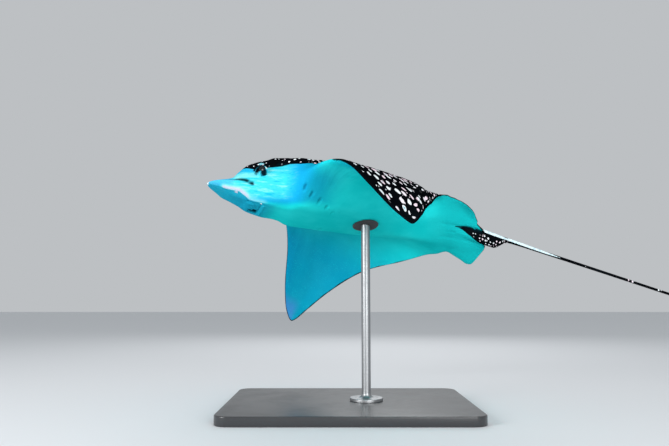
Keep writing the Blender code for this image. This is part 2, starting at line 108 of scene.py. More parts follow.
pose = {
    "centreAt": 0.30, "centre": Vector((-0.03, 0.0, 0.70)),  # the pose turns about this place
    "heading": 15.7, "noseUp": 6.8, "bank": 8.7,  # degrees
    "left": {
        "start": 0.006, "width": 0.282, "angle": -54.7, "slant": -27.4, "raise": 7.5,
        "camber": 0.018, "crest": 2.0, "rear": 0.004, "tip": 0.0125, "trail": 0.009,
    },
    "right": {
        "start": 0.096, "width": 0.225, "angle": -58.2, "slant": -29.4, "raise": 9.4,
        "camber": 0.016, "crest": 1.6, "rear": 0.0, "tip": 0.0, "trail": 0.0,
    },
    "rootStart": 0.05, "rootWidth": 0.14, "droop": 3.0, "pelvicSkew": 0.036,
    "twist": [(0.05, 0.0), (0.33, 7.6), (0.62, 32.5)], "wingTwistLess": 0.65,
    "stoop": [(0.32, 0.0), (0.66, 14.4), (1.15, 14.4), (1.9, 3.0), (2.45, -4.0)],
    "sway": [(0.60, 0.0), (1.15, 0.0), (1.9, 11.0), (2.45, 18.0)],
}


def curveAt(points, x):  # smooth curve through the points, with no overshoot
    px, py = np.array(points, float).T
    step = np.diff(px)
    slope = np.diff(py) / step
    tangent = np.concatenate([slope[:1], np.zeros(len(px) - 2), slope[-1:]])
    before, after = slope[:-1], slope[1:]
    same = before * after > 0
    tangent[1:-1][same] = 2 * before[same] * after[same] / (before[same] + after[same])
    x = np.clip(x, px[0], px[-1])
    k = np.clip(np.searchsorted(px, x, side="right") - 1, 0, len(step) - 1)
    t = (x - px[k]) / step[k]
    return (
        (1 + 2 * t) * (1 - t) ** 2 * py[k] + t * (1 - t) ** 2 * step[k] * tangent[k]
        + t * t * (3 - 2 * t) * py[k + 1] + t * t * (t - 1) * step[k] * tangent[k + 1]
    )


def ease(low, high, x):  # 0 at low, 1 at high, and also downhill
    t = np.clip((x - low) / (high - low), 0, 1)
    return t * t * (3 - 2 * t)


def within(a, b, c, d, x):  # rises from 0 to 1 between a and b, falls again from c to d
    return ease(a, b, x) * (1 - ease(c, d, x))


def bell(x, width):
    return np.exp(-(x / width) ** 2)


def halfWidth(s):
    s = np.asarray(s, float)
    lobe = form["lobeHalf"] * (1 - (1 - np.clip(s / form["lobeLength"], 0, 1)) ** 1.8) ** 0.66
    disc = np.where(s < form["discEnd"], curveAt(form["outline"], s), curveAt(form["tail"], s))
    return np.where(s < form["lobeLength"], lobe, disc)


def edgeAt(first, last, y):  # where the outline between two stations is y wide
    s = np.linspace(first, last, 300)
    wide = halfWidth(s)
    return np.interp(y, wide, s) if wide[-1] > wide[0] else np.interp(y, wide[::-1], s[::-1])


def tailMiddle(s):  # the whip leaves the root near its top, on the left
    whip = form["whip"]
    along = ease(whip["first"], whip["last"], s)
    heel = whip["heel"] * ease(0.60, form["discEnd"], s) * (1 - along)
    return whip["aside"] * along, whip["lift"] * along - heel


def rimOf(s, y):  # distance in from the outline, and how far aft, 0 to 1
    y = np.abs(y)
    front = edgeAt(0.0, form["wingTip"], np.minimum(y, 0.4999))
    inDisc = (s < form["notch"]) & (y > 0.078)
    wingRear = edgeAt(form["wingTip"], form["notch"], y)
    rear = np.where(inDisc, wingRear, edgeAt(form["pelvicWidest"], form["discEnd"], y))
    across = np.maximum(halfWidth(s) - y, 1e-6)
    along = np.maximum(np.minimum(s - front, rear - s), 1e-6)
    return across * along / np.hypot(across, along), np.clip((s - front) / (rear - front), 0, 1)


def heightsAt(s, y):  # height of the back and of the belly
    aside, middle = tailMiddle(s)
    beside, y = np.abs(y - aside), np.abs(y)
    inward, aft = rimOf(s, y)
    crown, keel = curveAt(form["crown"], s), curveAt(form["keel"], s)
    edge = curveAt(form["edgeLine"], s)
    back = 1 / (1 + (y / curveAt(form["backReach"], s)) ** 4)
    belly = 1 / (1 + (y / curveAt(form["bellyReach"], s)) ** 6)
    shape, flat = form["fin"], form["shoulder"]
    fin = shape["least"] + shape["root"] * (1 - np.minimum(y / 0.5, 1)) ** 0.9
    fin = fin * ease(0.14, 0.20, s) * (1 - shape["thinAft"] * ease(0.2, 1, aft))
    onShoulder = bell(s - flat["s"], flat["long"]) * bell(y - flat["y"], flat["wide"])
    fin = fin * (1 - flat["flatter"] * onShoulder)
    up = (crown - edge - 0.6 * fin) * back + fin
    down = (edge - keel - 0.6 * fin) * belly + fin

    soft = 0.055 * back + (0.028 + 0.024 * ease(0.08, 0.18, y)) * (1 - y / 0.5) + 0.003
    head = 1 - ease(0.13, 0.22, s)
    wide = halfWidth(s)
    jaw = soft * (1 - head) + head * np.minimum(0.030, 0.6 * wide + 0.002)
    topRound = np.clip(soft, 0.003, 0.9 * wide + 0.002)
    lowRound = np.clip(jaw, 0.003, 0.9 * wide + 0.002)
    top = edge + up * np.sqrt(1 - (1 - np.clip(inward / topRound, 0, 1)) ** 2)
    low = edge - down * np.sqrt(1 - (1 - np.clip(inward / lowRound, 0, 1)) ** 2)

    tube = np.sqrt(np.maximum(curveAt(form["tail"], s) ** 2 - beside ** 2, 0))
    tube = tube * ease(*form["tubeFrom"], s)
    top = np.where(s >= form["discEnd"], middle + tube, np.maximum(top, edge + middle + tube))
    low = np.where(s >= form["discEnd"], middle - tube, np.minimum(low, edge + middle - tube))
    edge = np.where(s >= form["discEnd"], middle, edge)
    thin = form["edgeHalf"] / form["discWidth"]
    return np.maximum(top, edge + thin), np.minimum(low, edge - thin)


def foldWing(points, s, y, start, width, angle, slant):
    across = (-math.sin(slant), math.cos(slant))
    reach = (s - pose["centreAt"]) * across[0] * ease(0.05, 0.18, y) + y * across[1]
    steps = np.linspace(0, 1, 101)
    turn = angle * ease(0, 1, steps)
    middle = (turn[1:] + turn[:-1]) / 2
    run = np.concatenate([[0], np.cumsum(np.cos(middle))]) * width / 100
    rise = np.concatenate([[0], np.cumsum(np.sin(middle))]) * width / 100
    t = np.clip((reach - start) / width, 0, 1)
    past = np.maximum(reach - start - width, 0)
    phi = angle * ease(0, 1, t)
    grow = np.interp(t, steps, run) + past * math.cos(angle) - np.maximum(reach - start, 0)
    lift = np.interp(t, steps, rise) + past * math.sin(angle)
    moved = (points[..., 0] - s) * across[0] + (points[..., 1] - y) * across[1]
    z = points[..., 2]
    shift = grow + moved * (np.cos(phi) - 1) - z * np.sin(phi)
    folded = lift + moved * np.sin(phi) + z * np.cos(phi)
    moved = [points[..., 0] + shift * across[0], points[..., 1] + shift * across[1], folded]
    return np.stack(moved, -1)


def poseWing(s, y, z, side):
    curl = pose[side]
    aft = rimOf(s, y)[1]
    lift = np.sin(np.pi * aft ** curl["crest"]) * within(0.10, 0.20, 0.35, 0.50, y)
    tip = curl["tip"] * ease(0.38, 0.48, y)
    rear = curl["rear"] * bell(aft - 0.82, 0.13) * within(0.10, 0.20, 0.30, 0.42, y)
    trail = curl["trail"] * ease(0.55, 1.0, aft) * bell(y - 0.335, 0.085)
    points = np.stack([
        s - tip * (0.36 + 0.48 * ease(0.33, 0.36, s)) + trail, y + tip, z + curl["camber"] * lift + rear,
    ], -1)
    angle, slant, lifted = (math.radians(curl[name]) for name in ("angle", "slant", "raise"))
    points = foldWing(points, s, y, curl["start"], curl["width"], angle, slant)
    points = foldWing(points, s, y, pose["rootStart"], pose["rootWidth"], lifted, 0.0)
    behind = points[..., 0] - 0.33
    behind = np.where(behind > 0, behind, 0.3 * behind)
    points[..., 2] -= behind * np.sin(math.radians(pose["droop"]) * ease(0.10, 0.45, y))
    fin = np.clip(y / 0.08, 0, 1) ** 3
    if side == "left":  # its pelvic fin is drawn in and closes up to the wing
        points[..., 1] += 0.017 * bell(s - 0.566, 0.024) * fin
        points[..., 1] -= 0.019 * ease(0.595, 0.635, s) * ease(0.025, 0.07, y)
        corner = ease(0.642, 0.657, s) * (1 - ease(0.030, 0.060, y))
        points[..., 0] -= (0.006 * ease(0.62, 0.65, s) + 0.010 * corner) * ease(0.018, 0.03, y)
    else:  # its inner corner trails back beside the tail
        trailing = 0.010 * (1 - np.clip((y - 0.022) / 0.053, 0, 1))
        points[..., 0] += trailing * ease(0.60, 0.655, s) * ease(0.0165, 0.028, y)
        ripple = 0.006 * bell(s - 0.548, 0.012) - 0.005 * bell(s - 0.485, 0.018)
        points[..., 1] += ripple * ease(0.03, 0.08, y)
        points[..., 1] *= -1
    behind = points[..., 0]
    skew = pose["pelvicSkew"] * within(0.43, 0.60, 0.66, 0.70, behind)
    points[..., 0] = behind - skew * points[..., 1] / 0.09
    return points


def traceSpine():  # places and directions along backbone and tail
    s = np.linspace(-0.05, form["tailEnd"] + 0.05, 1500)
    stoop, sway = np.radians(curveAt(pose["stoop"], s)), np.radians(curveAt(pose["sway"], s))
    twist = math.radians(pose["twist"][-1][1])
    left, dorsal = np.sin(sway), -np.sin(stoop) * np.cos(sway)
    direction = np.stack([
        np.cos(sway) * np.cos(stoop),
        left * math.cos(twist) - dorsal * math.sin(twist),
        left * math.sin(twist) + dorsal * math.cos(twist),
    ], -1)
    places = np.cumsum(direction, 0) * (s[1] - s[0])
    places -= np.array([np.interp(pose["centreAt"], s, places[:, i]) for i in range(3)])
    return s, places, direction


spineAt, spinePlaces, spineDirections = traceSpine()
wholeTurn = np.array(Euler((
    -math.radians(pose["bank"]), math.radians(pose["noseUp"]), math.radians(pose["heading"])
)).to_matrix())


def poseAll(s, y, z):  # flat places to metres in the frame; y is positive on the left
    s, y, z = np.broadcast_arrays(np.asarray(s, float), np.asarray(y, float), np.asarray(z, float))
    half = np.abs(y)
    left, right = poseWing(s, half, z, "left"), poseWing(s, half, z, "right")
    points = np.where((y >= 0)[..., None], left, right)
    s, y, z = points[..., 0], points[..., 1], points[..., 2]
    middle = pose["twist"][1][1]
    eased = 1 - pose["wingTwistLess"] * ease(0.08, 0.30, np.abs(y))
    twist = np.radians(middle + (curveAt(pose["twist"], s) - middle) * eased)
    cos, sin = np.cos(twist), np.sin(twist)
    across = np.stack([0 * y, y * cos - z * sin, y * sin + z * cos], -1)
    ahead = np.stack([np.interp(s, spineAt, spineDirections[:, i]) for i in range(3)], -1)
    middle = np.stack([np.interp(s, spineAt, spinePlaces[:, i]) for i in range(3)], -1)
    axis = np.stack([0 * s, -ahead[..., 2], ahead[..., 1]], -1)
    swung = np.cross(axis, across)
    posed = middle + across + swung + np.cross(axis, swung) / (1 + ahead[..., :1])
    return posed * np.array([1, -1, 1]) * form["discWidth"] @ wholeTurn.T + np.array(pose["centre"])


# Skin
skin = {
    "columns": 28,  # faces from the midline to the rim, before the fine places
    "rows": [  # first and last station, faces between them
        (0.0012, 0.05, 16), (0.05, 0.175, 46), (0.175, 0.29, 44), (0.29, 0.335, 12), (0.335, 0.39, 24),
        (0.39, 0.55, 34), (0.55, 0.657, 42), (0.657, 0.73, 26), (0.73, 0.85, 14), (0.85, 2.449, 40),
    ],
    "inset": 0.0009,  # keeps the skin within the CAD solids
    "eye": {
        "centre": (0.106, 0.0590, 0.0145), "radius": 0.0125, "gaze": (-0.16, 0.935, 0.32), "lid": 0.0010,
        "openAlong": 0.0068, "openUp": 0.0060, "openLower": 0.0006, "blend": 0.0035, "sunk": 0.0085,
    },
    "spiracle": {"s": 0.1490, "y": 0.0530, "long": 0.0155, "high": 0.0078, "depth": 0.013, "lip": 0.0016},
    "nostril": {"s": 0.0885, "y": 0.0300, "long": 0.0046, "wide": 0.0032, "depth": 0.0045},
    "mouth": {
        "s": 0.1170, "half": 0.0400, "open": 0.0060, "lead": 0.0100, "gape": 0.0015, "depth": 0.0060,
        "lip": 0.0016, "lipBehind": 0.0062, "lipWide": 0.0036,
    },
    "chinPad": {"s": 0.132, "long": 0.012, "half": 0.030, "rise": 0.0022},
    "snoutHollow": {"s": 0.068, "long": 0.022, "half": 0.026, "depth": 0.0014},
    "curtain": {
        "front": 0.079, "rear": 0.1045, "half": 0.0265, "rise": 0.0022, "notch": 0.0050, "arch": 0.0030,
        "fringe": 0.0007, "fringeStep": 0.0042,
    },
    "grooves": [  # line on the underside, its half width, depth, fading along it
        ([(0.0885, 0.0300), (0.102, 0.0300), (0.1165, 0.0325)], 0.0015, 0.0022, 0.0),
        ([(0.1185, 0.0335), (0.124, 0.0375), (0.133, 0.0400)], 0.0017, 0.0016, 1.0),
    ],
    "gills": [(0.1950, 0.1045), (0.2125, 0.0985), (0.2335, 0.0890), (0.2535, 0.0745), (0.2715, 0.0550)],
    "gillSlit": {
        "half": 0.0088, "wide": 0.0036, "depth": 0.0034, "lean": 0.16, "bow": 6.0, "flap": 0.0011,
        "flapAhead": 0.0033, "flapWide": 0.0022, "hollow": 0.0009,
    },
    "lobeCrease": [
        (0.040, 0.0420, -0.0042), (0.050, 0.0450, -0.0036), (0.062, 0.0495, -0.0038),
        (0.075, 0.0540, -0.0066), (0.0900, 0.0588, -0.0150), (0.0985, 0.0600, -0.0205),
    ],
    "jawRidge": [
        (0.022, 0.0290, -0.0208), (0.0353, 0.0340, -0.0239), (0.0672, 0.0450, -0.0293),
        (0.0827, 0.0440, -0.0384), (0.0917, 0.0414, -0.0449), (0.1132, 0.0465, -0.0493),
        (0.1400, 0.0520, -0.0515),
    ],
    "creaseDepth": 0.0052, "ridgeRise": 0.0022,
    "tailGroove": {"beside": 0.0022, "wide": 0.0026, "depth": 0.0016},
    "tailFold": {"y": 0.0178, "wide": 0.0026, "depth": 0.0040},
    "vent": {"wide": 0.0014, "depth": 0.0018, "lip": 0.0012, "lipOut": 0.0042, "lipWide": 0.0022},
    "muscle": {"rise": 0.00028, "count": 58.0}, "looseEdge": 0.0011,
    "border": [  # height of the border between back and underside on the head
        (0.0, 0.03), (0.055, 0.03), (0.084, 0.0235), (0.0955, 0.0205), (0.106, 0.0215), (0.119, 0.0272),
        (0.137, 0.0297), (0.148, 0.0328), (0.156, 0.0364), (0.166, 0.0405), (0.1747, 0.0397),
        (0.1831, 0.0386), (0.2000, 0.0389), (0.2180, 0.0401), (0.2350, 0.0400),
    ],
    "shadowedRootWedge": [(0.585, 0.0160), (0.600, 0.0125), (0.620, 0.0040), (0.635, -0.0040), (0.657, -0.0160)],
}


def spread(u, rimShare):  # 0 to 1, closing up towards the rim
    return (1 - rimShare) * u + rimShare * np.sin(u * np.pi / 2)


def joinRings(bm, rings):  # faces between each closed ring, or single point, and the next
    for a, b in zip(rings[:-1], rings[1:]):
        count = max(len(a), len(b))
        for k in range(count):
            n = (k + 1) % count
            corners = a[k % len(a)], a[n % len(a)], b[n % len(b)], b[k % len(b)]
            bm.faces.new(list(dict.fromkeys(corners)))


def flatCage():
    # one closed sheet round the flat animal, with z 1 on the back, -1 below and 0 at the rim
    stations = [skin["rows"][0][0]]
    for first, last, count in skin["rows"]:
        steps = np.linspace(0, 1, count + 1)[1:]
        if first < 0.01:
            steps = steps ** 1.6
        if last > 2:
            steps = steps ** 1.25
        stations += list(first + (last - first) * steps)
    stations = np.array(stations)
    n = skin["columns"]
    u = np.linspace(-1, 1, 2 * n + 1)
    bm = bmesh.new()
    rings = []
    for s in stations:
        wide = 0.9993 * float(halfWidth(s))
        share = 0.35 + 0.35 * float(ease(0.16, 0.24, s))
        middle = float(tailMiddle(s)[0]) if s > form["discEnd"] else 0.0
        ys = middle + wide * np.sign(u) * spread(np.abs(u), share)
        over = [bm.verts.new((s, y, 0 if j in (0, 2 * n) else 1)) for j, y in enumerate(ys)]
        under = [bm.verts.new((s, y, -1)) for y in ys[1:-1]]
        rings.append(over + under[::-1])
    joinRings(bm, rings)
    for ring, s, y in ((rings[0], 0.0, 0.0), (rings[-1], form["tailEnd"], form["whip"]["aside"])):
        joinRings(bm, [ring, [bm.verts.new((s, y, 0))]])
    return bm


def refine(bm, wanted, across=False):
    # splits the faces at wanted places; across splits only the edges that run out to the side
    edges = []
    for edge in bm.edges:
        a, b = edge.verts[0].co, edge.verts[1].co
        if across and abs(a.y - b.y) < abs(a.x - b.x):
            continue
        if wanted((a.x + b.x) / 2, abs(a.y + b.y) / 2, a.z + b.z):
            edges.append(edge)
    bmesh.ops.subdivide_edges(bm, edges=edges, cuts=1, use_grid_fill=True)


def lineDistance(places, points):  # distance to a bent line, and how far along it, 0 to 1
    points = np.array(points, float)
    places = places[:, :points.shape[1]]
    best, along = np.full(len(places), 9.0), np.zeros(len(places))
    for k, (a, b) in enumerate(zip(points[:-1], points[1:])):
        run = b - a
        t = np.clip((places - a) @ run / (run @ run), 0, 1)
        away = np.linalg.norm(places - a - t[:, None] * run, axis=1)
        along = np.where(away < best, (k + t) / (len(points) - 1), along)
        best = np.minimum(best, away)
    return best, along


def unit(v):
    v = np.array(v, float)
    return v / np.linalg.norm(v)


def eyeAxes():  # where the left eye looks, and along and up its opening
    gaze = unit(skin["eye"]["gaze"])
    along = unit(np.cross((0, 0, 1), gaze))
    return gaze, along, np.cross(gaze, along)


def mirroredBy(y, v):  # the same direction on both sides of the midline
    return np.stack([np.full(len(y), v[0]), np.where(y < 0, -1.0, 1.0) * v[1], np.full(len(y), v[2])], -1)


def carveSurface(flat, normal, side):
    # moves the flat skin along its normals: lips, slits, creases, folds and the fins' soft ripples; it also
    # gives the painted shade in slits, pits, creases and the fold by the tail, the painted highlight along
    # the jaw ridge and the painted shade under that ridge
    s, y, z = flat.T
    out = np.abs(y)
    below, above = side < 0, side > 0
    inward, aft = rimOf(s, y)
    # the second value gathers the painted shade that darkens the slits, pits, creases and folds below
    lift, paintedShade = -skin["inset"] * ease(0.004, 0.03, inward), np.zeros(len(s))

    mirrored = np.stack([s, out, z], -1)
    mouth, chin, curtain, nostril = (skin[name] for name in ("mouth", "chinPad", "curtain", "nostril"))
    parted = ease(-0.004, -0.011, y) * ease(-0.041, -0.034, y)  # open a little on the right
    line = mouth["s"] - mouth["lead"] * parted
    ends = 1 - ease(0.8, 1.06, out / mouth["half"])
    gape = mouth["gape"] + mouth["open"] * parted
    slit = (1 - ease(0.6, 1.7, np.abs(s - line) / gape)) * ends * below
    lift -= mouth["depth"] * slit * (0.20 + 1.30 * parted)
    paintedShade = np.maximum(paintedShade, slit * (0.22 + 0.78 * parted))
    lift += mouth["lip"] * bell(s - mouth["s"] - mouth["lipBehind"], mouth["lipWide"]) * ends * below
    lift += chin["rise"] * bell(s - chin["s"], chin["long"]) * bell(y, chin["half"]) * below
    hem = curtain["rear"] - curtain["notch"] * bell(y, 0.0042)
    hem = hem - curtain["arch"] * (out / curtain["half"]) ** 2
    hem = hem + curtain["fringe"] * np.sin(y * math.tau / curtain["fringeStep"])
    flap = ease(curtain["front"], curtain["front"] + 0.014, s) * (1 - ease(hem, hem + 0.0016, s))
    flap = flap * (1 - ease(curtain["half"] - 0.004, curtain["half"] + 0.001, out)) * below
    lift += curtain["rise"] * flap
    pit = np.hypot((s - nostril["s"]) / nostril["long"], (out - nostril["y"]) / nostril["wide"])
    pit = bell(pit, 0.75) * below
    lift -= nostril["depth"] * pit
    paintedShade = np.maximum(paintedShade, 0.9 * pit)
    for points, wide, depth, fading in skin["grooves"]:  # nostril to mouth, and behind its corner
        away, along = lineDistance(mirrored, points)
        lift -= depth * bell(away, wide) * (1 - fading * along) * below

    gill = skin["gillSlit"]
    for number, (gillS, gillY) in enumerate(skin["gills"]):
        ds, dy = s - gillS, out - gillY
        lean = unit((gill["lean"], 1.0))
        along = ds * lean[0] + dy * lean[1]
        away = ds * lean[1] - dy * lean[0] - gill["bow"] * along ** 2
        ends = (1 - ease(0.35, 1.2, np.abs(along) / (gill["half"] * (1 - 0.05 * number)))) * below
        lift -= gill["depth"] * bell(away, gill["wide"]) * ends
        lift += gill["flap"] * bell(away + gill["flapAhead"], gill["flapWide"]) * ends
        paintedShade = np.maximum(paintedShade, (0.40 - 0.03 * number) * bell(away, gill["wide"]) * ends)
    lift -= gill["hollow"] * bell(s - 0.236, 0.045) * bell(out - 0.086, 0.020) * below  # round them all

    away, along = lineDistance(mirrored, skin["lobeCrease"])
    fade = within(0.0, 0.12, 0.78, 1.0, along)
    lift -= skin["creaseDepth"] * bell(away, 0.0038) * fade
    paintedShade = np.maximum(paintedShade, 0.95 * bell(away, 0.0044) * fade)
    away, along = lineDistance(mirrored, skin["jawRidge"])
    lift += skin["ridgeRise"] * bell(away, 0.0050) * within(0.0, 0.2, 0.70, 1, along) * below
    line = np.array(skin["jawRidge"])
    jawY, jawZ = (curveAt(line[:, (0, axis)], s) for axis in (1, 2))
    inside = (jawZ - z) + 0.5 * (jawY - out)  # above 0 under the jaw
    # painted highlight along the jaw ridge, cut off sharply on the shaded side under the jaw
    ridge = bell(away, np.where(inside > 0, 0.0024, 0.0095)) * within(0.0, 0.18, 0.86, 1.0, along)
    ridge = ridge * (1 - 0.40 * ease(0.45, 0.70, along))
    # under is the painted shade under the jaw ridge
    under = ease(0.0005, 0.0040, inside) * below
    hollow = skin["snoutHollow"]
    lift -= hollow["depth"] * bell(y, hollow["half"]) * bell(s - hollow["s"], hollow["long"]) * below

    groove, fold, vent = skin["tailGroove"], skin["tailFold"], skin["vent"]
    beside = bell(out - curveAt(form["tail"], s) - groove["beside"], groove["wide"])
    lift -= groove["depth"] * beside * within(0.535, 0.56, 0.645, 0.656, s) * (inward > 0.004)
    pinch = bell(y - fold["y"], fold["wide"]) * within(0.575, 0.615, 0.650, 0.657, s)
    lift -= fold["depth"] * pinch * below
    # painted shadow in the fold beside the tail root, and a fainter one further forward
    shade = 0.9 * bell(y - 0.0172, fold["wide"]) * ease(0.580, 0.610, s) * (s < 0.657)
    faintShadow = 0.30 * bell(y - 0.0205, 0.0030) * within(0.535, 0.56, 0.59, 0.60, s)
    slit = bell(y, vent["wide"]) * within(0.568, 0.573, 0.583, 0.588, s) * below
    lift -= vent["depth"] * slit
    lips = bell(out - vent["lipOut"], vent["lipWide"]) * within(0.562, 0.570, 0.588, 0.596, s)
    lift += vent["lip"] * lips * below
    for dark in (shade * below, faintShadow * below, 0.20 * slit):
        paintedShade = np.maximum(paintedShade, dark)

    # muscle bands that fan out through the wings, and the loose ripple of their trailing edges
    fan = np.arctan2(s - 0.235, out + 0.02)
    bands = np.sin(fan * skin["muscle"]["count"]) * ease(0.10, 0.16, out) * ease(0.004, 0.03, inward)
    lift += skin["muscle"]["rise"] * bands * (s < 0.57)
    loose = ease(0.55, 0.95, aft) * ease(0.09, 0.16, out) * (s < 0.57)
    ripple = np.sin(out * 118.0 + 1.3 * np.sin(out * 31.0) + np.where(y > 0, 0.4, 2.1))
    lift += skin["looseEdge"] * loose * ripple * np.where(above, 1.0, np.where(below, -1.0, 0.0))
    return flat + normal * lift[:, None], paintedShade, ridge, under


def carveSpiracle(flat, side, paintedShade):
    hole = skin["spiracle"]
    s, y, z = flat.T
    out = np.abs(y)
    top = float(heightsAt(hole["s"], hole["y"])[0])
    ahead, normal = unit((1.0, 0.10, 0.06)), unit((-0.05, 0.66, 0.75))
    q = np.stack([s - hole["s"], out - hole["y"], z - top], -1)
    u, v = q @ ahead, q @ np.cross(ahead, normal)
    blunt = np.clip(1.0 - 0.35 * u / hole["long"], 0.55, 1.35)  # blunt in front, narrow behind
    reach = np.hypot(u / hole["long"], v / (hole["high"] * blunt))
    here = (side > 0) & (np.abs(q @ normal) < 0.03) & (reach < 3)
    down = hole["depth"] * (1 - ease(0.30, 1.0, reach)) - hole["lip"] * bell(reach - 1.22, 0.24)
    # painted shade inside the spiracle
    paintedShade = np.maximum(paintedShade, np.where(here, 1 - ease(0.55, 0.95, reach), 0))
    return flat - mirroredBy(y, normal) * np.where(here, down, 0)[:, None], paintedShade


def carveLids(flat, side, paintedShade):
    # the skin rises over each eyeball as a lid and turns in at the opening
    eye = skin["eye"]
    gaze, along, upward = eyeAxes()
    q = np.stack([flat[:, 0], np.abs(flat[:, 1]), flat[:, 2]], -1) - np.array(eye["centre"])
    a, u, v = q @ gaze, q @ along, q @ upward
    r = np.hypot(u, v)
    shell = eye["radius"] + eye["lid"]
    dome = np.sqrt(np.maximum(shell ** 2 - r ** 2, 0)) - 0.02 * (r > shell)
    opening = np.hypot(u / eye["openAlong"], (v + eye["openLower"]) / eye["openUp"])
    mix = np.clip(0.5 + 0.5 * (dome - a) / eye["blend"], 0, 1)
    lidded = a * (1 - mix) + dome * mix + eye["blend"] * mix * (1 - mix)
    crease = 0.0011 * bell(opening - 1.42, 0.16) * ease(-0.2, 0.6, v / eye["openUp"])
    rolled = lidded - crease + 0.0007 * bell(opening - 1.10, 0.12)
    sunk = rolled - eye["sunk"] * (1 - ease(0.80, 1.0, opening))
    near = (r < 0.034) & (a > -0.03) & (side >= 0)
    target = np.where(near, np.where(opening < 1, sunk, rolled), a)
    # painted shade inside the eye opening
    paintedShade = np.maximum(paintedShade, np.where(near, 1 - ease(0.95, 1.30, opening), 0))
    return flat + (target - a)[:, None] * mirroredBy(flat[:, 1], gaze), paintedShade


def bellyMeasure(flat, side):
    # above 0 on the pale underside, below 0 on the dark back; in disc widths from the border
    s, y, z = flat.T
    inward, _ = rimOf(s, y)
    onHead = curveAt(skin["border"], s) - z
    onDisc = np.where(side >= 0, -inward, inward)
    measure = onHead + (onDisc - onHead) * ease(0.205, 0.224, s)
    wedge = np.minimum(y - curveAt(skin["shadowedRootWedge"], s), 0.0172 - y)  # painted shadow in the gap between the pale fins, widening into the dark tail root
    wedge = np.where(s > 0.585, wedge, -0.02)
    measure = np.where(side < 0, np.minimum(measure, -wedge), measure)
    return np.where(s > form["discEnd"], -0.02, measure)


def meshFromFlat(bm, name, places, measures):
    # writes posed places, and the measures that the finish reads
    mesh = bpy.data.meshes.new(name)
    bm.to_mesh(mesh)
    mesh.vertices.foreach_set("co", poseAll(*places.T).astype(np.float32).ravel())
    for key, values in measures.items():
        kind, field = ("FLOAT_VECTOR", "vector") if values.ndim == 2 else ("FLOAT", "value")
        slot = mesh.attributes.new(key, kind, "POINT")
        slot.data.foreach_set(field, values.astype(np.float32).ravel())
    mesh.shade_smooth()
    mesh.update()
    return mesh


def addObject(name, mesh):
    made = bpy.data.objects.new(name, mesh)
    bpy.context.scene.collection.objects.link(made)
    return made


def joinInto(body, parts):
    chosen = [body] + parts
    with bpy.context.temp_override(active_object=body, object=body, selected_editable_objects=chosen):
        bpy.ops.object.join()


def flatArrays(bm):
    data = np.array([vert.co for vert in bm.verts])
    s, y, side = data.T
    top, low = heightsAt(s, y)
    middle = (top + low) / 2
    z = np.where(side > 0, top, np.where(side < 0, low, middle))
    return np.stack([s, y, z], -1), np.sign(side)


def makeSkin():
    bm = flatCage()
    eye, hole = skin["eye"]["centre"], skin["spiracle"]
    refine(bm, lambda s, y, side: s < 0.172)
    refine(bm, lambda s, y, side: side < 0 and 0.183 < s < 0.285 and 0.035 < y < 0.125)
    refine(bm, lambda s, y, side: side < 0 and 0.186 < s < 0.282 and 0.040 < y < 0.120, across=True)
    refine(bm, lambda s, y, side: side < 0 and 0.084 < s < 0.126 and y < 0.040)
    refine(bm, lambda s, y, side: side < 0 and 0.100 < s < 0.122 and y < 0.037)
    refine(bm, lambda s, y, side: side >= 0 and math.hypot(s - hole["s"], (y - hole["y"]) * 1.2) < 0.022)
    refine(bm, lambda s, y, side: side >= 0 and math.hypot(s - eye[0], (y - eye[1]) * 1.2) < 0.020)
    refine(bm, lambda s, y, side: side > 0 and math.hypot(s - eye[0], (y - eye[1]) * 1.5) < 0.0145)
    refine(bm, lambda s, y, side: side > 0 and 0.040 < s < 0.090 and 0.030 < y < 0.062)
    flat, side = flatArrays(bm)
    for vert, place in zip(bm.verts, flat):
        vert.co = place
    bmesh.ops.recalc_face_normals(bm, faces=bm.faces)
    if bm.calc_volume(signed=True) < 0:
        bmesh.ops.reverse_faces(bm, faces=bm.faces)
    bm.normal_update()
    normal = np.array([vert.normal for vert in bm.verts])
    carved, paintedShade, ridge, under = carveSurface(flat, normal, side)
    carved, paintedShade = carveSpiracle(carved, side, paintedShade)
    carved, paintedShade = carveLids(carved, side, paintedShade)
    mesh = meshFromFlat(bm, "raySkin", carved, {
        "flatPlace": flat, "belly": bellyMeasure(flat, side), "paintedShade": paintedShade,
        "aft": rimOf(flat[:, 0], flat[:, 1])[1], "ridge": ridge, "under": under,
    })
    bm.free()
    made = addObject("raySkin", mesh)
    triangles = sum(len(face.vertices) - 2 for face in mesh.polygons)
    print("skin:", len(mesh.vertices), "points,", triangles, "triangles")
    return made


dorsalFin = {"start": 0.596, "end": 0.634, "height": 0.021, "lean": 0.014, "half": 0.0018, "foot": 0.0042}


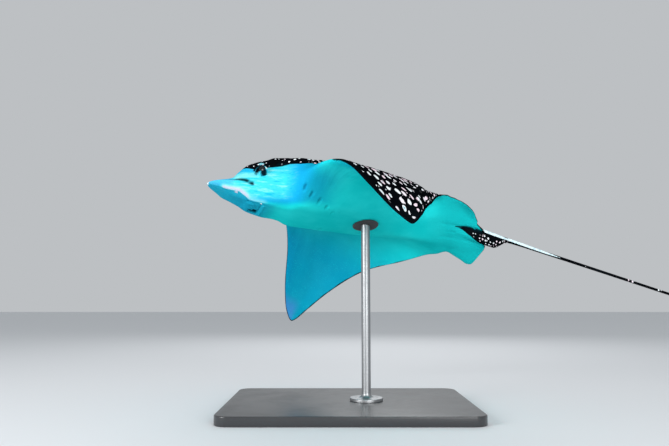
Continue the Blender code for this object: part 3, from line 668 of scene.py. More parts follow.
def addDorsalFin(body):
    # small upright fin on the tail root, its foot spreading into the skin
    fin = dorsalFin
    rows, columns = 30, 22
    u, v = np.meshgrid(np.linspace(0, 1, rows), np.linspace(-0.22, 1, columns), indexing="ij")
    rise = np.clip(v, 0, 1)
    s = fin["start"] + (fin["end"] - fin["start"]) * u * (1 - 0.62 * rise) + (fin["lean"] + 0.012) * rise
    foot = heightsAt(s, 0 * s)[0]
    crest = 0.35 + 0.65 * np.sin(np.pi * (0.18 + 0.62 * u))
    z = foot + fin["height"] * np.where(v < 0, v * 0.35, v * crest)
    thick = fin["half"] * (1 - 0.6 * rise) * np.sin(np.pi * (0.05 + 0.90 * u))
    thick = thick + fin["foot"] * bell(v + 0.12, 0.16)
    bm = bmesh.new()
    sheets = [[[
        bm.verts.new((s[i, j], side * thick[i, j], z[i, j])) for j in range(columns)
    ] for i in range(rows)] for side in (1, -1)]
    for sheet in sheets:
        for i in range(rows - 1):
            for j in range(columns - 1):
                bm.faces.new((sheet[i][j], sheet[i + 1][j], sheet[i + 1][j + 1], sheet[i][j + 1]))
    loop = [(i, 0) for i in range(rows)] + [(rows - 1, j) for j in range(1, columns)]
    loop += [(i, columns - 1) for i in range(rows - 2, -1, -1)]
    loop += [(0, j) for j in range(columns - 2, 0, -1)]
    for (a, b), (c, d) in zip(loop, loop[1:] + loop[:1]):
        bm.faces.new((sheets[0][a][b], sheets[0][c][d], sheets[1][c][d], sheets[1][a][b]))
    bmesh.ops.recalc_face_normals(bm, faces=bm.faces)
    places = np.array([vert.co for vert in bm.verts])
    marks = places.copy()
    marks[:, 1] += places[:, 2] * 0.8  # so that the spots don't smear down its sides
    zero = np.zeros(len(places))
    mesh = meshFromFlat(bm, "dorsalFin", places, {
        "flatPlace": marks, "belly": zero - 0.02, "paintedShade": zero, "aft": zero,
    })
    bm.free()
    made = addObject("dorsalFin", mesh)
    joinInto(body, [made])


raySkin = makeSkin()
addDorsalFin(raySkin)


# Finishes
class Value:  # a node's output; sums and products of it are more nodes
    def __init__(self, wiring, socket):
        self.wiring, self.socket = wiring, socket

    def __add__(self, other):
        return self.wiring.math("ADD", self, other)

    def __sub__(self, other):
        return self.wiring.math("SUBTRACT", self, other)

    def __rsub__(self, other):
        return self.wiring.math("SUBTRACT", other, self)

    def __mul__(self, other):
        return self.wiring.math("MULTIPLY", self, other)


class Wiring:  # a short way to add shader nodes and join them
    def __init__(self, name):
        self.material = bpy.data.materials.new(name)
        self.material.use_nodes = True
        self.tree = self.material.node_tree
        self.shader = self.tree.nodes["Principled BSDF"]

    def node(self, kind, inputs=None, output=0, **settings):
        made = self.tree.nodes.new("ShaderNode" + kind)
        for key, value in settings.items():
            setattr(made, key, value)
        for key, value in (inputs or {}).items():
            self.feed(made.inputs[key], value)
        if output is None:
            return [Value(self, socket) for socket in made.outputs]
        return Value(self, made.outputs[output])

    def feed(self, socket, value):
        if isinstance(value, Value):
            self.tree.links.new(value.socket, socket)
        else:
            socket.default_value = value

    def attribute(self, name, output="Fac"):
        return self.node("Attribute", output=output, attribute_name=name)

    def objectPlace(self):
        return self.node("TexCoord", output="Object")

    def math(self, operation, a, b=0.0, c=0.0):
        return self.node("Math", {0: a, 1: b, 2: c}, operation=operation)

    def larger(self, first, *others):
        for value in others:
            first = self.math("MAXIMUM", first, value)
        return first

    def ease(self, value, low, high, to0=0.0, to1=1.0):
        inputs = {0: value, 1: low, 2: high, 3: to0, 4: to1}
        return self.node("MapRange", inputs, interpolation_type="SMOOTHSTEP")

    def ramp(self, value, low, high):
        return self.node("MapRange", {0: value, 1: low, 2: high})

    def mix(self, factor, a, b):
        return self.node("Mix", {0: factor, 6: a, 7: b}, 2, data_type="RGBA", blend_type="MIX")

    def layered(self, colour, *layers):  # each layer is its share and its colour
        for share, over in layers:
            colour = self.mix(share, colour, over)
        return colour

    def vector(self, x, y, z=0.0):
        return self.node("CombineXYZ", {0: x, 1: y, 2: z})

    def onVector(self, operation, a, b, output="Vector"):
        second = 3 if operation == "SCALE" else 1
        return self.node("VectorMath", {0: a, second: b}, output, operation=operation)

    def scaled(self, vector, scale, shift=(0.0, 0.0, 0.0)):
        return self.node("Mapping", {0: vector, 2: shift, 3: scale})

    def noise(self, vector, scale, detail=3.0, roughness=0.5, output="Fac"):
        inputs = {"Vector": vector, "Scale": scale, "Detail": detail, "Roughness": roughness}
        return self.node("TexNoise", inputs, output)

    def bump(self, height, strength, distance, normal=None):
        inputs = {"Height": height, "Strength": strength, "Distance": distance}
        if normal is not None:
            inputs["Normal"] = normal
        return self.node("Bump", inputs)

    def surface(self, **values):  # shader sockets by name, with _ for a space
        for key, value in values.items():
            self.feed(self.shader.inputs[key.replace("_", " ")], value)
        return self.material


def rgb(r, g, b):
    return (r, g, b, 1.0)


skinFinish = {
    "back": rgb(0.0020, 0.0025, 0.0035), "backSheen": rgb(0.004, 0.006, 0.008),
    "spotWhite": rgb(0.84, 0.90, 0.92), "spotPink": rgb(0.88, 0.72, 0.80),
    # the near-black tone at the end of the next line is painted shade for slits, pits and creases
    "spotHeart": rgb(0.20, 0.52, 0.60), "paintedShade": rgb(0.002, 0.012, 0.020),
    "belly": rgb(0.006, 0.640, 0.650), "bellyPale": rgb(0.020, 0.740, 0.740),
    # the next two lines are painted shade tones for a bluer and a dimmer underside, throat and nape
    "bellyBlueShade": rgb(0.002, 0.205, 0.390), "bellyRearShade": rgb(0.004, 0.420, 0.440),
    "throatShade": rgb(0.008, 0.370, 0.680), "napeShade": rgb(0.004, 0.260, 0.440),
    "cheek": rgb(0.044, 0.580, 0.680), "cheekPale": rgb(0.200, 0.690, 0.710),
    "cheekDim": rgb(0.010, 0.440, 0.670), "forehead": rgb(0.010, 0.380, 0.680),
    # the chin tone on the next line is painted shade under the jaw
    "snout": rgb(0.060, 0.420, 0.700), "chin": rgb(0.010, 0.320, 0.480),
    # the pink-white lip tone on the next line is a painted highlight on the jaw ridge
    "lip": rgb(0.480, 0.500, 0.620), "farTipShade": rgb(0.060, 0.210, 0.560),
    "zones": [  # tone, greatest share, and where each measure gives none and all
        ("bellyPale", 1.0, ("cloud", 0.35, 0.70)),
        # painted shade: bluer towards the leading edges, and over the far side
        ("bellyBlueShade", 0.65, ("aft", 0.34, 0.0), ("out", 0.14, 0.30)),
        ("bellyBlueShade", 0.80, ("y", -0.08, -0.30)),
        # painted shade: bluer and darker on the lowest chest and throat
        ("napeShade", 0.80, ("s", 0.285, 0.215), ("out", 0.210, 0.130), ("z", -0.0560, -0.0420)),
        ("throatShade", 1.0, ("s", 0.215, 0.180), ("z", -0.0560, -0.0420)),
        # painted shade: dimmer towards the rear of the belly
        ("bellyRearShade", 0.75, ("s", 0.48, 0.58)),
        ("streaked", 1.0, ("s", 0.185, 0.150), ("z", -0.0480, -0.0360)),
        (
            # painted highlight: a pale band along the brow
            "cheekPale", 0.75,
            ("z", -0.004, 0.001), ("z", 0.013, 0.006), ("s", 0.110, 0.085), ("s", 0.045, 0.055),
        ),
        ("forehead", 0.75, ("z", 0.008, 0.018), ("s", 0.125, 0.095)),
        ("snout", 0.80, ("s", 0.058, 0.040), ("z", -0.024, -0.018)),
        # painted shade under the jaw
        ("chin", 0.90, ("s", 0.165, 0.115), "under"),
        # painted highlight along the jaw ridge
        ("jawHighlight", 1.0, ("ridge", 0.10, 0.95)),
        # painted shade on the far wing tip
        ("farTipShade", 0.70, ("y", -0.425, -0.470), ("aft", 0.80, 0.40)),
        ("bellyPale", 0.30, ("speck", 0.60, 0.70)),
    ],
    "marks": [  # place on the flat head, radius, tone
        # the first mark is a painted highlight on the snout tip
        ((0.0020, 0.0050, -0.0105), 0.0045, "spotWhite"), ((0.1040, 0.0495, 0.0275), 0.0135, "back"),
        ((0.0955, 0.0500, 0.0200), 0.0072, "back"), ((0.0990, 0.0570, 0.0108), 0.0076, "back"),
        # the first mark on the next line is painted shade under the eye
        ((0.1100, 0.0640, 0.0085), 0.0078, "paintedShade"), ((0.1062, 0.0375, 0.0400), 0.0066, "spotHeart"),
        ((0.1006, 0.0372, 0.0382), 0.0026, "spotWhite"), ((0.1147, 0.0580, 0.0181), 0.0030, "spotWhite"),
    ],
    "leftMarksAndHighlight": [
        # the next line: a white dot at the mouth corner, and a painted highlight on the near jaw ridge
        ((0.1160, 0.0418, -0.0527), 0.0022, "spotWhite"), ((0.0610, 0.0400, -0.0325), 0.0040, "lip"),
    ],
    "spots": {  # cells in a disc width, least and greatest radius, share, seed
        "large": (76.0, (0.23, 0.32), 0.96, 23.0), "rear": (68.4, (0.24, 0.33), 0.95, 25.3),
        "small": (159.6, (0.14, 0.24), 0.10, 5.3), "fine": (144.4, (0.18, 0.30), 0.60, 7.7),
    },
    "scatter": 0.62, "wander": 0.005, "plainBorder": (-0.0066, -0.0046),
    "ragged": 0.0026, "frayed": 0.006, "roughness": 0.50, "roughSpread": 0.16,
}


def paintSkin():
    tone = skinFinish
    w = Wiring("raySkin")
    place = w.attribute("flatPlace", "Vector")
    belly, paintedShade, aft, ridge = (w.attribute(name) for name in ("belly", "paintedShade", "aft", "ridge"))
    s, y, z = w.node("SeparateXYZ", {0: place}, None)
    out = w.math("ABSOLUTE", y)
    mirrored = w.vector(s, out, z)
    cloud = w.noise(place, 9.0, 4.0, 0.6)
    measures = {
        "s": s, "y": y, "z": z, "out": out, "aft": aft, "ridge": ridge, "under": w.attribute("under"),
        "cloud": cloud, "speck": w.noise(place, 420.0, 2.0),
    }

    # white spots, round on the back and drawn out along the wings and their trailing edges
    past = w.ramp(out, 0.07, 0.27)
    inner = w.math("MINIMUM", out, 0.07) + (past - past * past * 0.5) * 0.20
    span = out * 0.32 + inner * 0.48
    chord = s - w.larger(out - 0.12, 0.0) * 0.2
    sided = w.math("SIGN", y) * 3.7  # so that the two sides differ
    wander = w.onVector("SUBTRACT", w.noise(place, 45.0, 1.0, 0.5, "Color"), (0.5, 0.5, 0.5))
    wander = w.onVector("SCALE", wander, tone["wander"])

    def spots(kind, across, along, zone):
        scale, sizes, share, seed = tone["spots"][kind]
        cells = w.onVector("ADD", w.vector(across + (sided + seed), along + seed), wander)
        inputs = {"Vector": cells, "Scale": scale, "Randomness": tone["scatter"]}
        away, tint = w.node("TexVoronoi", inputs, None, voronoi_dimensions="2D", feature="F1")[:2]
        chance = w.node("SeparateColor", {0: tint}, None)
        edge = w.ease(chance[0], 0.0, 1.0, *sizes) * zone - away
        mark = w.ease(edge, 0.0, 0.05) * w.ease(chance[1], 1 - share - 0.01, 1 - share)
        heart = w.ease(edge, 0.12, 0.22) * w.ease(chance[2], 0.72, 0.80)
        return mark, heart, chance[1]

    onRear = w.ease(aft, 0.66, 0.80) * w.ease(out, 0.14, 0.22)
    slimmer = w.ease(s, 0.12, 0.24, 0.50, 1.0) * w.ease(s, 0.61, 0.56) * w.ease(out, 0.484, 0.468)
    onMiddle = (1.0 - onRear) * slimmer
    onRoot = w.ease(s, 0.605, 0.640) * w.ease(out, 0.020, 0.018)
    large, heart, chance = spots("large", chord, span, onMiddle)
    rear = spots("rear", s + out * 0.5, out * 0.32, onRear)[0]
    small = spots("small", chord, span, onMiddle)[0]
    fine = spots("fine", s, y, onRoot)[0]
    patches = w.ease(w.noise(place, 26.0, 1.0), 0.57, 0.60)
    whole = w.larger(patches, w.ease(s, 0.74, 0.70))  # fewer spots on the whip
    mark = w.larger(large, rear, small, fine) * w.ease(belly, *tone["plainBorder"], 1.0, 0.0) * whole
    spotTone = w.layered(
        tone["spotWhite"], (w.ease(chance, 0.35, 0.8), tone["spotPink"]), (heart, tone["spotHeart"]),
    )
    back = w.layered(tone["back"], (w.ease(cloud, 0.45, 0.75), tone["backSheen"]), (mark, spotTone))

    # pale underside, with painted shade that makes it bluer towards the leading edges, the far side and the
    # far tip and darker on the throat, chest and rear; streaked cheeks and snout, the chin in painted shade
    # under the jaw, and painted highlights along the brow and the jaw ridge
    streak = w.noise(w.scaled(mirrored, (26.0, 60.0, 150.0), (0.0, 0.35, 0.0)), 1.0, 4.0, 0.6)
    paler = (w.ease(streak, 0.50, 0.68), tone["cheekPale"])
    dimmer = (w.ease(streak, 0.46, 0.34), tone["cheekDim"])
    tones = {
        **tone, "streaked": w.layered(tone["cheek"], paler, dimmer),
        "jawHighlight": w.mix(w.ease(ridge, 0.4, 1.0), tone["cheekPale"], tone["lip"]),
    }
    under = tone["belly"]
    for name, share, *bounds in tone["zones"]:
        for bound in bounds:
            part = measures[bound] if isinstance(bound, str) else w.ease(measures[bound[0]], *bound[1:])
            share = part * share
        under = w.mix(share, under, tones[name])

    ragged = (w.noise(place, 55.0, 3.0) - 0.5) * tone["ragged"]
    border = w.ease(s, 0.20, 0.26) * w.ease(out, 0.12, 0.30, 0.0004, 0.0022)
    colour = w.mix(w.ease(belly - (border + ragged), -0.0010, 0.0010), back, under)
    frayed = (w.noise(place, 260.0, 2.0) - 0.5) * tone["frayed"]
    for where, marks in ((mirrored, tone["marks"]), (place, tone["leftMarksAndHighlight"])):
        for centre, radius, name in marks:
            away = w.onVector("DISTANCE", where, centre, "Value") + frayed
            colour = w.mix(w.ease(away, radius * 1.15, radius * 0.6), colour, tone[name])
    # painted shade in the slits, pits, creases and folds
    colour = w.mix(w.ease(paintedShade, 0.10, 0.95), colour, tone["paintedShade"])

    # fine grain, faint muscle bands and wrinkles where the skin bends
    bent = w.ease(s, 0.30, 0.16) * w.ease(s, 0.08, 0.14)
    folds = w.noise(w.scaled(place, (240.0, 60.0, 60.0)), 1.0, 4.0) * bent
    fan = w.math("ARCTAN2", s - 0.235, out + 0.02)
    bands = w.math("SINE", fan * 150.0 + cloud * 6.0) * w.ease(out, 0.10, 0.18) * w.ease(s, 0.60, 0.55)
    normal = w.bump(w.noise(w.objectPlace(), 900.0, 2.0), 0.10, 0.0006)
    normal = w.bump(folds, 0.20, 0.002, normal)
    normal = w.bump(bands, 0.10, 0.0008, normal)
    rough = cloud * tone["roughSpread"] + tone["roughness"]
    return w.surface(Base_Color=colour, Roughness=rough, Normal=normal, Specular_IOR_Level=0.0)


raySkin.data.materials.clear()
raySkin.data.materials.append(paintSkin())
print("skin painted")

# Eyes
eyeShape = {
    "rings": 44, "around": 64, "cornea": 0.055, "corneaSpread": 0.52,
    "iris": rgb(0.012, 0.030, 0.036), "irisFleck": rgb(0.30, 0.46, 0.50), "white": rgb(0.16, 0.26, 0.30),
    "pupil": rgb(0.002, 0.002, 0.003), "pupilSquash": 1.28,
}


def makeEye(side):
    eye = skin["eye"]
    sign = 1 if side == "left" else -1
    gaze, along, upward = eyeAxes()
    rings, around = eyeShape["rings"], eyeShape["around"]
    bm = bmesh.new()
    directions = []

    def addPoint(polar, turn):
        swell = 1 + eyeShape["cornea"] * float(bell(polar, eyeShape["corneaSpread"]))
        ring = math.sin(polar)
        local = np.array([ring * math.cos(turn), ring * math.sin(turn), math.cos(polar)])
        place = np.array(eye["centre"]) + eye["radius"] * swell * (
            local[0] * along + local[1] * upward + local[2] * gaze
        )
        directions.append(local)
        return bm.verts.new((place[0], sign * place[1], place[2]))

    polars = np.linspace(0, np.pi, rings + 1)
    grid = [[addPoint(polar, math.tau * k / around) for k in range(around)] for polar in polars[1:-1]]
    front, rear = addPoint(0.0, 0.0), addPoint(np.pi, 0.0)
    joinRings(bm, [[front]] + grid + [[rear]])
    bmesh.ops.recalc_face_normals(bm, faces=bm.faces)
    places = np.array([vert.co for vert in bm.verts])
    mesh = meshFromFlat(bm, f"eyeball{side.title()}", places, {"irisPlace": np.array(directions)})
    bm.free()
    return addObject(f"eyeball_{side}", mesh)


def paintEye():
    tone = eyeShape
    w = Wiring("wetEye")
    across, up, ahead = w.node("SeparateXYZ", {0: w.attribute("irisPlace", "Vector")}, None)
    flatUp = up * tone["pupilSquash"]
    radial = w.math("SQRT", across * across + up * up) + w.ease(ahead, 0.0, -0.02, 0.0, 2.0)
    squashed = w.math("SQRT", across * across + flatUp * flatUp)
    rays = w.vector(w.math("ARCTAN2", up, across) * 5.0, radial * 3.0)
    fleck = w.ease(w.noise(rays, 2.2, 4.0, 0.65), 0.44, 0.62)
    ring = w.ease(radial, 0.52, 0.62) * w.ease(radial, 0.86, 0.74)
    colour = w.layered(
        tone["iris"],
        (fleck * ring, tone["irisFleck"]),
        (w.ease(radial, 0.78, 0.86), tone["white"]),
        (w.ease(radial, 0.86, 0.93), tone["iris"]),
        (w.ease(squashed, 0.56, 0.50), tone["pupil"]),
    )
    return w.surface(
        Base_Color=colour, Roughness=0.12, Coat_Weight=0.35, Coat_Roughness=0.03, Specular_IOR_Level=0.35,
    )


wetEye = paintEye()
eyes = {side: makeEye(side) for side in ("left", "right")}
for eyeball in eyes.values():
    eyeball.data.materials.append(wetEye)
print("eyes made")

# Stings
stings = {  # s, y and z of their two ends; roll tips them down to the side
    "sting_front": {
        "start": (0.659, 0.0188, -0.0020), "end": (0.718, 0.0178, -0.0046), "half": 0.0040, "roll": -20,
    },
    "sting_rear": {
        "start": (0.711, 0.0148, 0.0010), "end": (0.848, 0.0107, 0.0021), "half": 0.0030, "roll": -42,
    },
    "barbSpacing": 0.0036, "barbLength": 0.0050, "barbWidth": 0.0016,  # metres
    "bone": rgb(0.70, 0.86, 0.90), "stain": rgb(0.42, 0.60, 0.66),
}


def alongSting(sting, u, across, out):
    # flat places: u from root to tip, across its width, out from its middle; both in half widths
    half = sting["half"] * np.clip(1 - u ** 4, 0.14, 1)
    s, y, z = (a + (b - a) * u for a, b in zip(sting["start"], sting["end"]))
    cos, sin = math.cos(math.radians(sting["roll"])), math.sin(math.radians(sting["roll"]))
    y = y - sin * half * across + cos * half * out
    z = z + cos * half * across + sin * half * out
    return np.stack(np.broadcast_arrays(s, y, z), -1)


def stingBlade(name):
    rows, around = 90, 20
    u = np.linspace(0, 1, rows)[:, None]
    turn = (np.linspace(0, math.tau, around, endpoint=False) + 0.001)[None, :]
    keel, grooves = bell(np.cos(turn), 0.30), bell(np.abs(np.cos(turn)) - 0.42, 0.14)
    ridge = 1 + 0.16 * keel - 0.12 * grooves
    grid = alongSting(stings[name], u + 0 * turn, 0.93 * np.cos(turn), 0.44 * np.sin(turn) * ridge)
    bm = bmesh.new()
    grid = [[bm.verts.new(place) for place in row] for row in grid]
    joinRings(bm, grid)
    bm.faces.new(grid[0][::-1])
    bm.faces.new(grid[-1])
    bmesh.ops.recalc_face_normals(bm, faces=bm.faces)
    places = np.array([vert.co for vert in bm.verts])
    mesh = meshFromFlat(bm, name, places, {"flatPlace": places})
    bm.free()
    return mesh


def barbTree():
    # a barb on every point of a guide line, pointing back down it
    tree = bpy.data.node_groups.new("barbsAlongLine", "GeometryNodeTree")
    tree.interface.new_socket("Geometry", in_out="INPUT", socket_type="NodeSocketGeometry")
    for name, value in (("Spacing", 0.004), ("Barb Length", 0.004), ("Barb Width", 0.002)):
        socket = tree.interface.new_socket(name, in_out="INPUT", socket_type="NodeSocketFloat")
        socket.default_value = value
    tree.interface.new_socket("Finish", in_out="INPUT", socket_type="NodeSocketMaterial")
    tree.interface.new_socket("Geometry", in_out="OUTPUT", socket_type="NodeSocketGeometry")
    kinds = (
        "NodeGroupInput", "NodeGroupOutput", "GeometryNodeMeshToCurve", "GeometryNodeResampleCurve",
        "GeometryNodeMeshCone", "GeometryNodeInputTangent", "FunctionNodeAlignRotationToVector",
        "FunctionNodeRandomValue", "GeometryNodeInstanceOnPoints", "GeometryNodeRealizeInstances",
        "GeometryNodeSetMaterial",
    )
    given, result, toCurve, resample, cone, tangent, align, size, onPoints, realise, paint = (
        tree.nodes.new(kind) for kind in kinds
    )
    resample.mode, align.axis, size.data_type = "LENGTH", "Z", "FLOAT"
    for node, name, value in (
        (cone, "Vertices", 7), (cone, "Radius Top", 0.0001),
        (size, "Min", 0.75), (size, "Max", 1.1), (size, "Seed", 7),
    ):
        node.inputs[name].default_value = value
    for start, output, end, name in (
        (given, "Geometry", toCurve, 0), (toCurve, 0, resample, "Curve"),
        (given, "Spacing", resample, "Length"), (given, "Barb Width", cone, "Radius Bottom"),
        (given, "Barb Length", cone, "Depth"), (tangent, 0, align, "Vector"),
        (resample, 0, onPoints, "Points"), (cone, "Mesh", onPoints, "Instance"),
        (align, 0, onPoints, "Rotation"), (size, 1, onPoints, "Scale"), (onPoints, 0, realise, 0),
        (realise, 0, paint, "Geometry"), (given, "Finish", paint, "Material"), (paint, 0, result, 0),
    ):
        tree.links.new(start.outputs[output], end.inputs[name])
    return tree


def runTree(made, tree, values):
    # sets the inputs by identifier, evaluates once and keeps the plain mesh
    modifier = made.modifiers.new("build", "NODES")
    modifier.node_group = tree
    for socket in tree.interface.items_tree:
        if socket.in_out == "INPUT" and socket.name in values:
            modifier[socket.identifier] = values[socket.name]
    bpy.context.view_layer.update()
    graph = bpy.context.evaluated_depsgraph_get()
    mesh = bpy.data.meshes.new_from_object(made.evaluated_get(graph))
    made.modifiers.clear()
    made.data = mesh
    return made


def paintSting():
    w = Wiring("stingBone")
    place = w.objectPlace()
    colour = w.mix(w.ease(w.noise(place, 90.0, 4.0, 0.6), 0.42, 0.70), stings["bone"], stings["stain"])
    return w.surface(
        Base_Color=colour, Roughness=0.38, Normal=w.bump(w.noise(place, 700.0, 3.0), 0.25, 0.0006),
    )


stingBone, barbs = paintSting(), barbTree()


def makeSting(name):
    blade = addObject(name + "_spine", stingBlade(name))
    blade.data.materials.append(stingBone)
    rows = []
    for side in (1, -1):  # barbs run along both edges and point towards the root
        points = poseAll(*alongSting(stings[name], np.linspace(0.93, 0.22, 60), side * 0.84, 0.0).T)
        mesh = bpy.data.meshes.new("guide")
        mesh.from_pydata(points.tolist(), [(k, k + 1) for k in range(len(points) - 1)], [])
        rows.append(runTree(addObject("barbs", mesh), barbs, {
            "Spacing": stings["barbSpacing"], "Barb Length": stings["barbLength"],
            "Barb Width": stings["barbWidth"] / 2, "Finish": stingBone,
        }))
    joinInto(blade, rows)
    return blade


stingSpines = {name: makeSting(name) for name in ("sting_front", "sting_rear")}
print("stings made")

# Stand
stand = {
    "corner": 0.045, "round": 0.004, "underRound": 0.0012,
    "rodAt": 0.365, "rodRadius": 0.015, "footRadius": 0.055, "footHeight": 0.010, "fillet": 0.014,
    "footEdge": 0.0006, "footRound": 0.0022, "groove": ((0.018, 0.0), (0.0188, 0.0007), (0.0196, 0.0)),
    "padRadius": 0.030, "padThick": 0.0040, "gap": 0.0004,
    "board": rgb(0.030, 0.031, 0.034), "dust": rgb(0.30, 0.30, 0.30),
    "steel": rgb(0.30, 0.31, 0.32), "steelPale": rgb(0.38, 0.39, 0.40),
    "pad": rgb(0.030, 0.030, 0.032), "padPale": rgb(0.055, 0.055, 0.058),
}


def smoothMesh(name, bm, angle=35):
    bmesh.ops.recalc_face_normals(bm, faces=bm.faces)
    mesh = bpy.data.meshes.new(name)
    bm.to_mesh(mesh)
    bm.free()
    mesh.shade_smooth()
    made = addObject(name, mesh)
    mesh.set_sharp_from_angle(angle=math.radians(angle))
    return made


def makeBoard():
    low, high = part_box("stand_base")
    size = high - low
    bm = bmesh.new()
    bmesh.ops.create_cube(bm, size=1)
    bmesh.ops.scale(bm, verts=bm.verts, vec=size)
    bmesh.ops.translate(bm, verts=bm.verts, vec=(low + high) / 2)
    upright = [edge for edge in bm.edges if abs(edge.verts[0].co.z - edge.verts[1].co.z) > 0.001]
    bmesh.ops.bevel(bm, geom=upright, offset=stand["corner"], segments=14, profile=0.5, affect="EDGES")
    for level, radius, segments in ((high.z, stand["round"], 5), (low.z, stand["underRound"], 2)):
        rims = [e for e in bm.edges if all(abs(v.co.z - level) < 1e-4 for v in e.verts)]
        bmesh.ops.bevel(bm, geom=rims, offset=radius, segments=segments, profile=0.5, affect="EDGES")
    return smoothMesh("stand_board", bm)


def makeRod():
    low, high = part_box("stand_rod")
    below = (6 * stand["gap"] + stand["padThick"]) / form["discWidth"]
    under = float(heightsAt(stand["rodAt"], 0.0)[1]) - below
    top = poseAll(stand["rodAt"], 0.0, under)
    along = poseAll(stand["rodAt"] + 0.01, 0.0, under) - top
    across = poseAll(stand["rodAt"], 0.01, under) - top
    slope = np.cross(along, across)
    foot, rise, radius, fillet, edge, rounded = (
        stand[name] for name in ("footRadius", "footHeight", "rodRadius", "fillet", "footEdge", "footRound")
    )
    profile = [(foot - edge, 0.0), (foot, edge), (foot, rise - rounded)]
    for angle in (0.4, 0.8, 1.2, 1.57):
        profile.append((foot - rounded * (1 - math.cos(angle)), rise - rounded * (1 - math.sin(angle))))
    profile += [(foot - inward, rise - depth) for inward, depth in stand["groove"]]
    for step in range(9):
        angle = step / 8 * math.pi / 2
        profile.append((radius + fillet * (1 - math.sin(angle)), rise + fillet * (1 - math.cos(angle))))
    sides = 72
    bm = bmesh.new()
    rings = []
    for r, z in profile + [(radius, None)]:
        ring = []
        for k in range(sides):
            x, y = r * math.cos(math.tau * k / sides), r * math.sin(math.tau * k / sides)
            height = low.z + z if z is not None else top[2] - (slope[0] * x + slope[1] * y) / slope[2]
            ring.append(bm.verts.new((top[0] + x, top[1] + y, height)))
        rings.append(ring)
    joinRings(bm, rings)
    bm.faces.new(rings[0][::-1])
    bm.faces.new(rings[-1])
    return smoothMesh("stand_pillar", bm, 40)


def makePad():
    n = 36
    radius, gap = stand["padRadius"], stand["gap"] / form["discWidth"]
    thick = stand["padThick"] / form["discWidth"]
    rings = [(0.0, 1.0), (0.35, 1.0), (0.7, 1.0), (0.93, 1.0), (0.985, 0.86), (1.0, 0.5)]
    rings += [(reach, 1 - level) for reach, level in rings[-2::-1]]  # the lower side mirrors it
    bm = bmesh.new()
    made = []
    for reach, level in rings:
        turns = [0.0] if reach == 0 else [math.tau * k / n for k in range(n)]
        ring = []
        for turn in turns:
            s = stand["rodAt"] + radius * reach * math.cos(turn)
            y = radius * reach * math.sin(turn)
            z = float(heightsAt(s, y)[1]) - gap - thick * (1 - level)
            ring.append(bm.verts.new(poseAll(s, y, z)))
        made.append(ring)
    joinRings(bm, made)
    return smoothMesh("stand_rest", bm)


def paintBoard():
    w = Wiring("blackLacquer")
    place = w.objectPlace()
    haze = w.ease(w.noise(place, 5.0, 5.0, 0.6), 0.35, 0.70, 0.30, 0.42)
    dust = w.ease(w.noise(place, 160.0, 3.0, 0.6), 0.60, 0.80) * 0.10
    return w.surface(
        Base_Color=w.mix(dust, stand["board"], stand["dust"]), Roughness=haze, Coat_Weight=0.25,
        Coat_Roughness=0.2, Normal=w.bump(w.noise(place, 420.0, 2.0), 0.05, 0.0008),
    )


def paintSteel():
    w = Wiring("brushedSteel")
    place = w.objectPlace()
    brushed = w.noise(w.scaled(place, (14.0, 14.0, 900.0)), 1.0, 5.0, 0.7)
    return w.surface(
        Base_Color=w.mix(w.ease(brushed, 0.3, 0.7), stand["steel"], stand["steelPale"]), Metallic=1.0,
        Roughness=w.noise(place, 24.0, 3.0) * 0.18 + 0.34, Normal=w.bump(brushed, 0.12, 0.0004),
    )


def paintPad():
    w = Wiring("rubberPad")
    place = w.objectPlace()
    return w.surface(
        Base_Color=w.mix(w.noise(place, 300.0, 2.0), stand["pad"], stand["padPale"]), Roughness=0.75,
        Normal=w.bump(w.noise(place, 1200.0, 2.0), 0.3, 0.0006),
    )


standPieces = {
    "stand_base": (makeBoard(), paintBoard(), "stand_board"),
    "stand_rod": (makeRod(), paintSteel(), "stand_steel"),
    "stand_saddle": (makePad(), paintPad(), "stand_pad"),
}
for node, (piece, finish, slotName) in standPieces.items():
    piece.data.materials.append(finish)
    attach(piece, "root")
    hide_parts(node)
print("stand made")

# The skin stands for every piece of flesh
flesh = [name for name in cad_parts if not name.startswith(("stand_", "eye_", "sting_"))]
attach(raySkin, "root")
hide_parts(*flesh)
for side, eyeball in eyes.items():
    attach(eyeball, "root")
    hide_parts(f"eye_{side}")
for name, spine in stingSpines.items():
    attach(spine, "root")
    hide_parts(name)

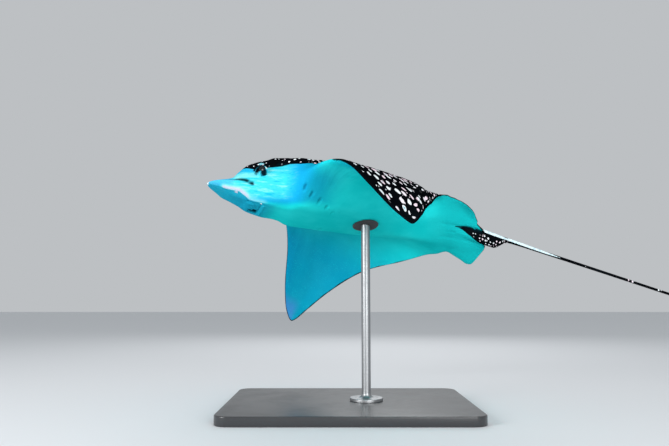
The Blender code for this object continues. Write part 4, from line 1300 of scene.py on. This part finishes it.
# Studio: plain pale floor, soft light, camera low on the animal's left
studio = {
    "floor": rgb(0.72, 0.74, 0.76), "floorSize": 30.0, "world": (0.82, 0.85, 0.88), "worldStrength": 0.62,
    "cameraPlace": (-0.047, -2.227, 0.368), "tiltUp": 6.5, "lens": 35.30045,
    "lamps": [  # place, aim, size, watts
        ((-3.2, -2.6, 1.5), (-0.2, 0.0, 0.65), 1.8, 110.0),
        ((1.4, -3.6, 1.3), (0.2, 0.0, 0.65), 2.4, 95.0),
        ((0.4, 3.2, 2.6), (0.0, 0.0, 0.6), 2.2, 35.0),
    ],
}


def makeStudio():
    bm = bmesh.new()
    bmesh.ops.create_grid(bm, x_segments=1, y_segments=1, size=studio["floorSize"] / 2)
    bmesh.ops.translate(bm, verts=bm.verts, vec=(0, 0, cadBounds[0][2] - 0.0005))
    mesh = bpy.data.meshes.new("studioFloor")
    bm.to_mesh(mesh)
    bm.free()
    floor = addObject("studioFloor", mesh)
    w = Wiring("paleFloor")
    mesh.materials.append(w.surface(Base_Color=studio["floor"], Roughness=0.85, Specular_IOR_Level=0.2))
    for number, (place, aim, size, watts) in enumerate(studio["lamps"]):
        data = bpy.data.lights.new(f"softLamp{number}", "AREA")
        data.shape, data.size, data.energy = "DISK", size, watts
        lamp = bpy.data.objects.new(f"softLamp{number}", data)
        lamp.location = place
        lamp.rotation_euler = (Vector(aim) - Vector(place)).to_track_quat("-Z", "Y").to_euler()
        bpy.context.scene.collection.objects.link(lamp)
    world = bpy.data.worlds.new("paleRoom")
    world.use_nodes = True
    background = world.node_tree.nodes["Background"]
    background.inputs[0].default_value = (*studio["world"], 1)
    background.inputs[1].default_value = studio["worldStrength"]
    bpy.context.scene.world = world
    bpy.context.scene.view_settings.view_transform = "Standard"


def makeCamera():
    data = bpy.data.cameras.new("viewCamera")
    data.sensor_width = 36.0
    data.lens = studio["lens"]
    data.clip_end = 100.0
    camera = bpy.data.objects.new("viewCamera", data)
    camera.location = studio["cameraPlace"]
    camera.rotation_euler = (math.radians(90 + studio["tiltUp"]), 0, 0)
    bpy.context.scene.collection.objects.link(camera)
    bpy.context.scene.camera = camera


makeStudio()
makeCamera()
print("studio lit")
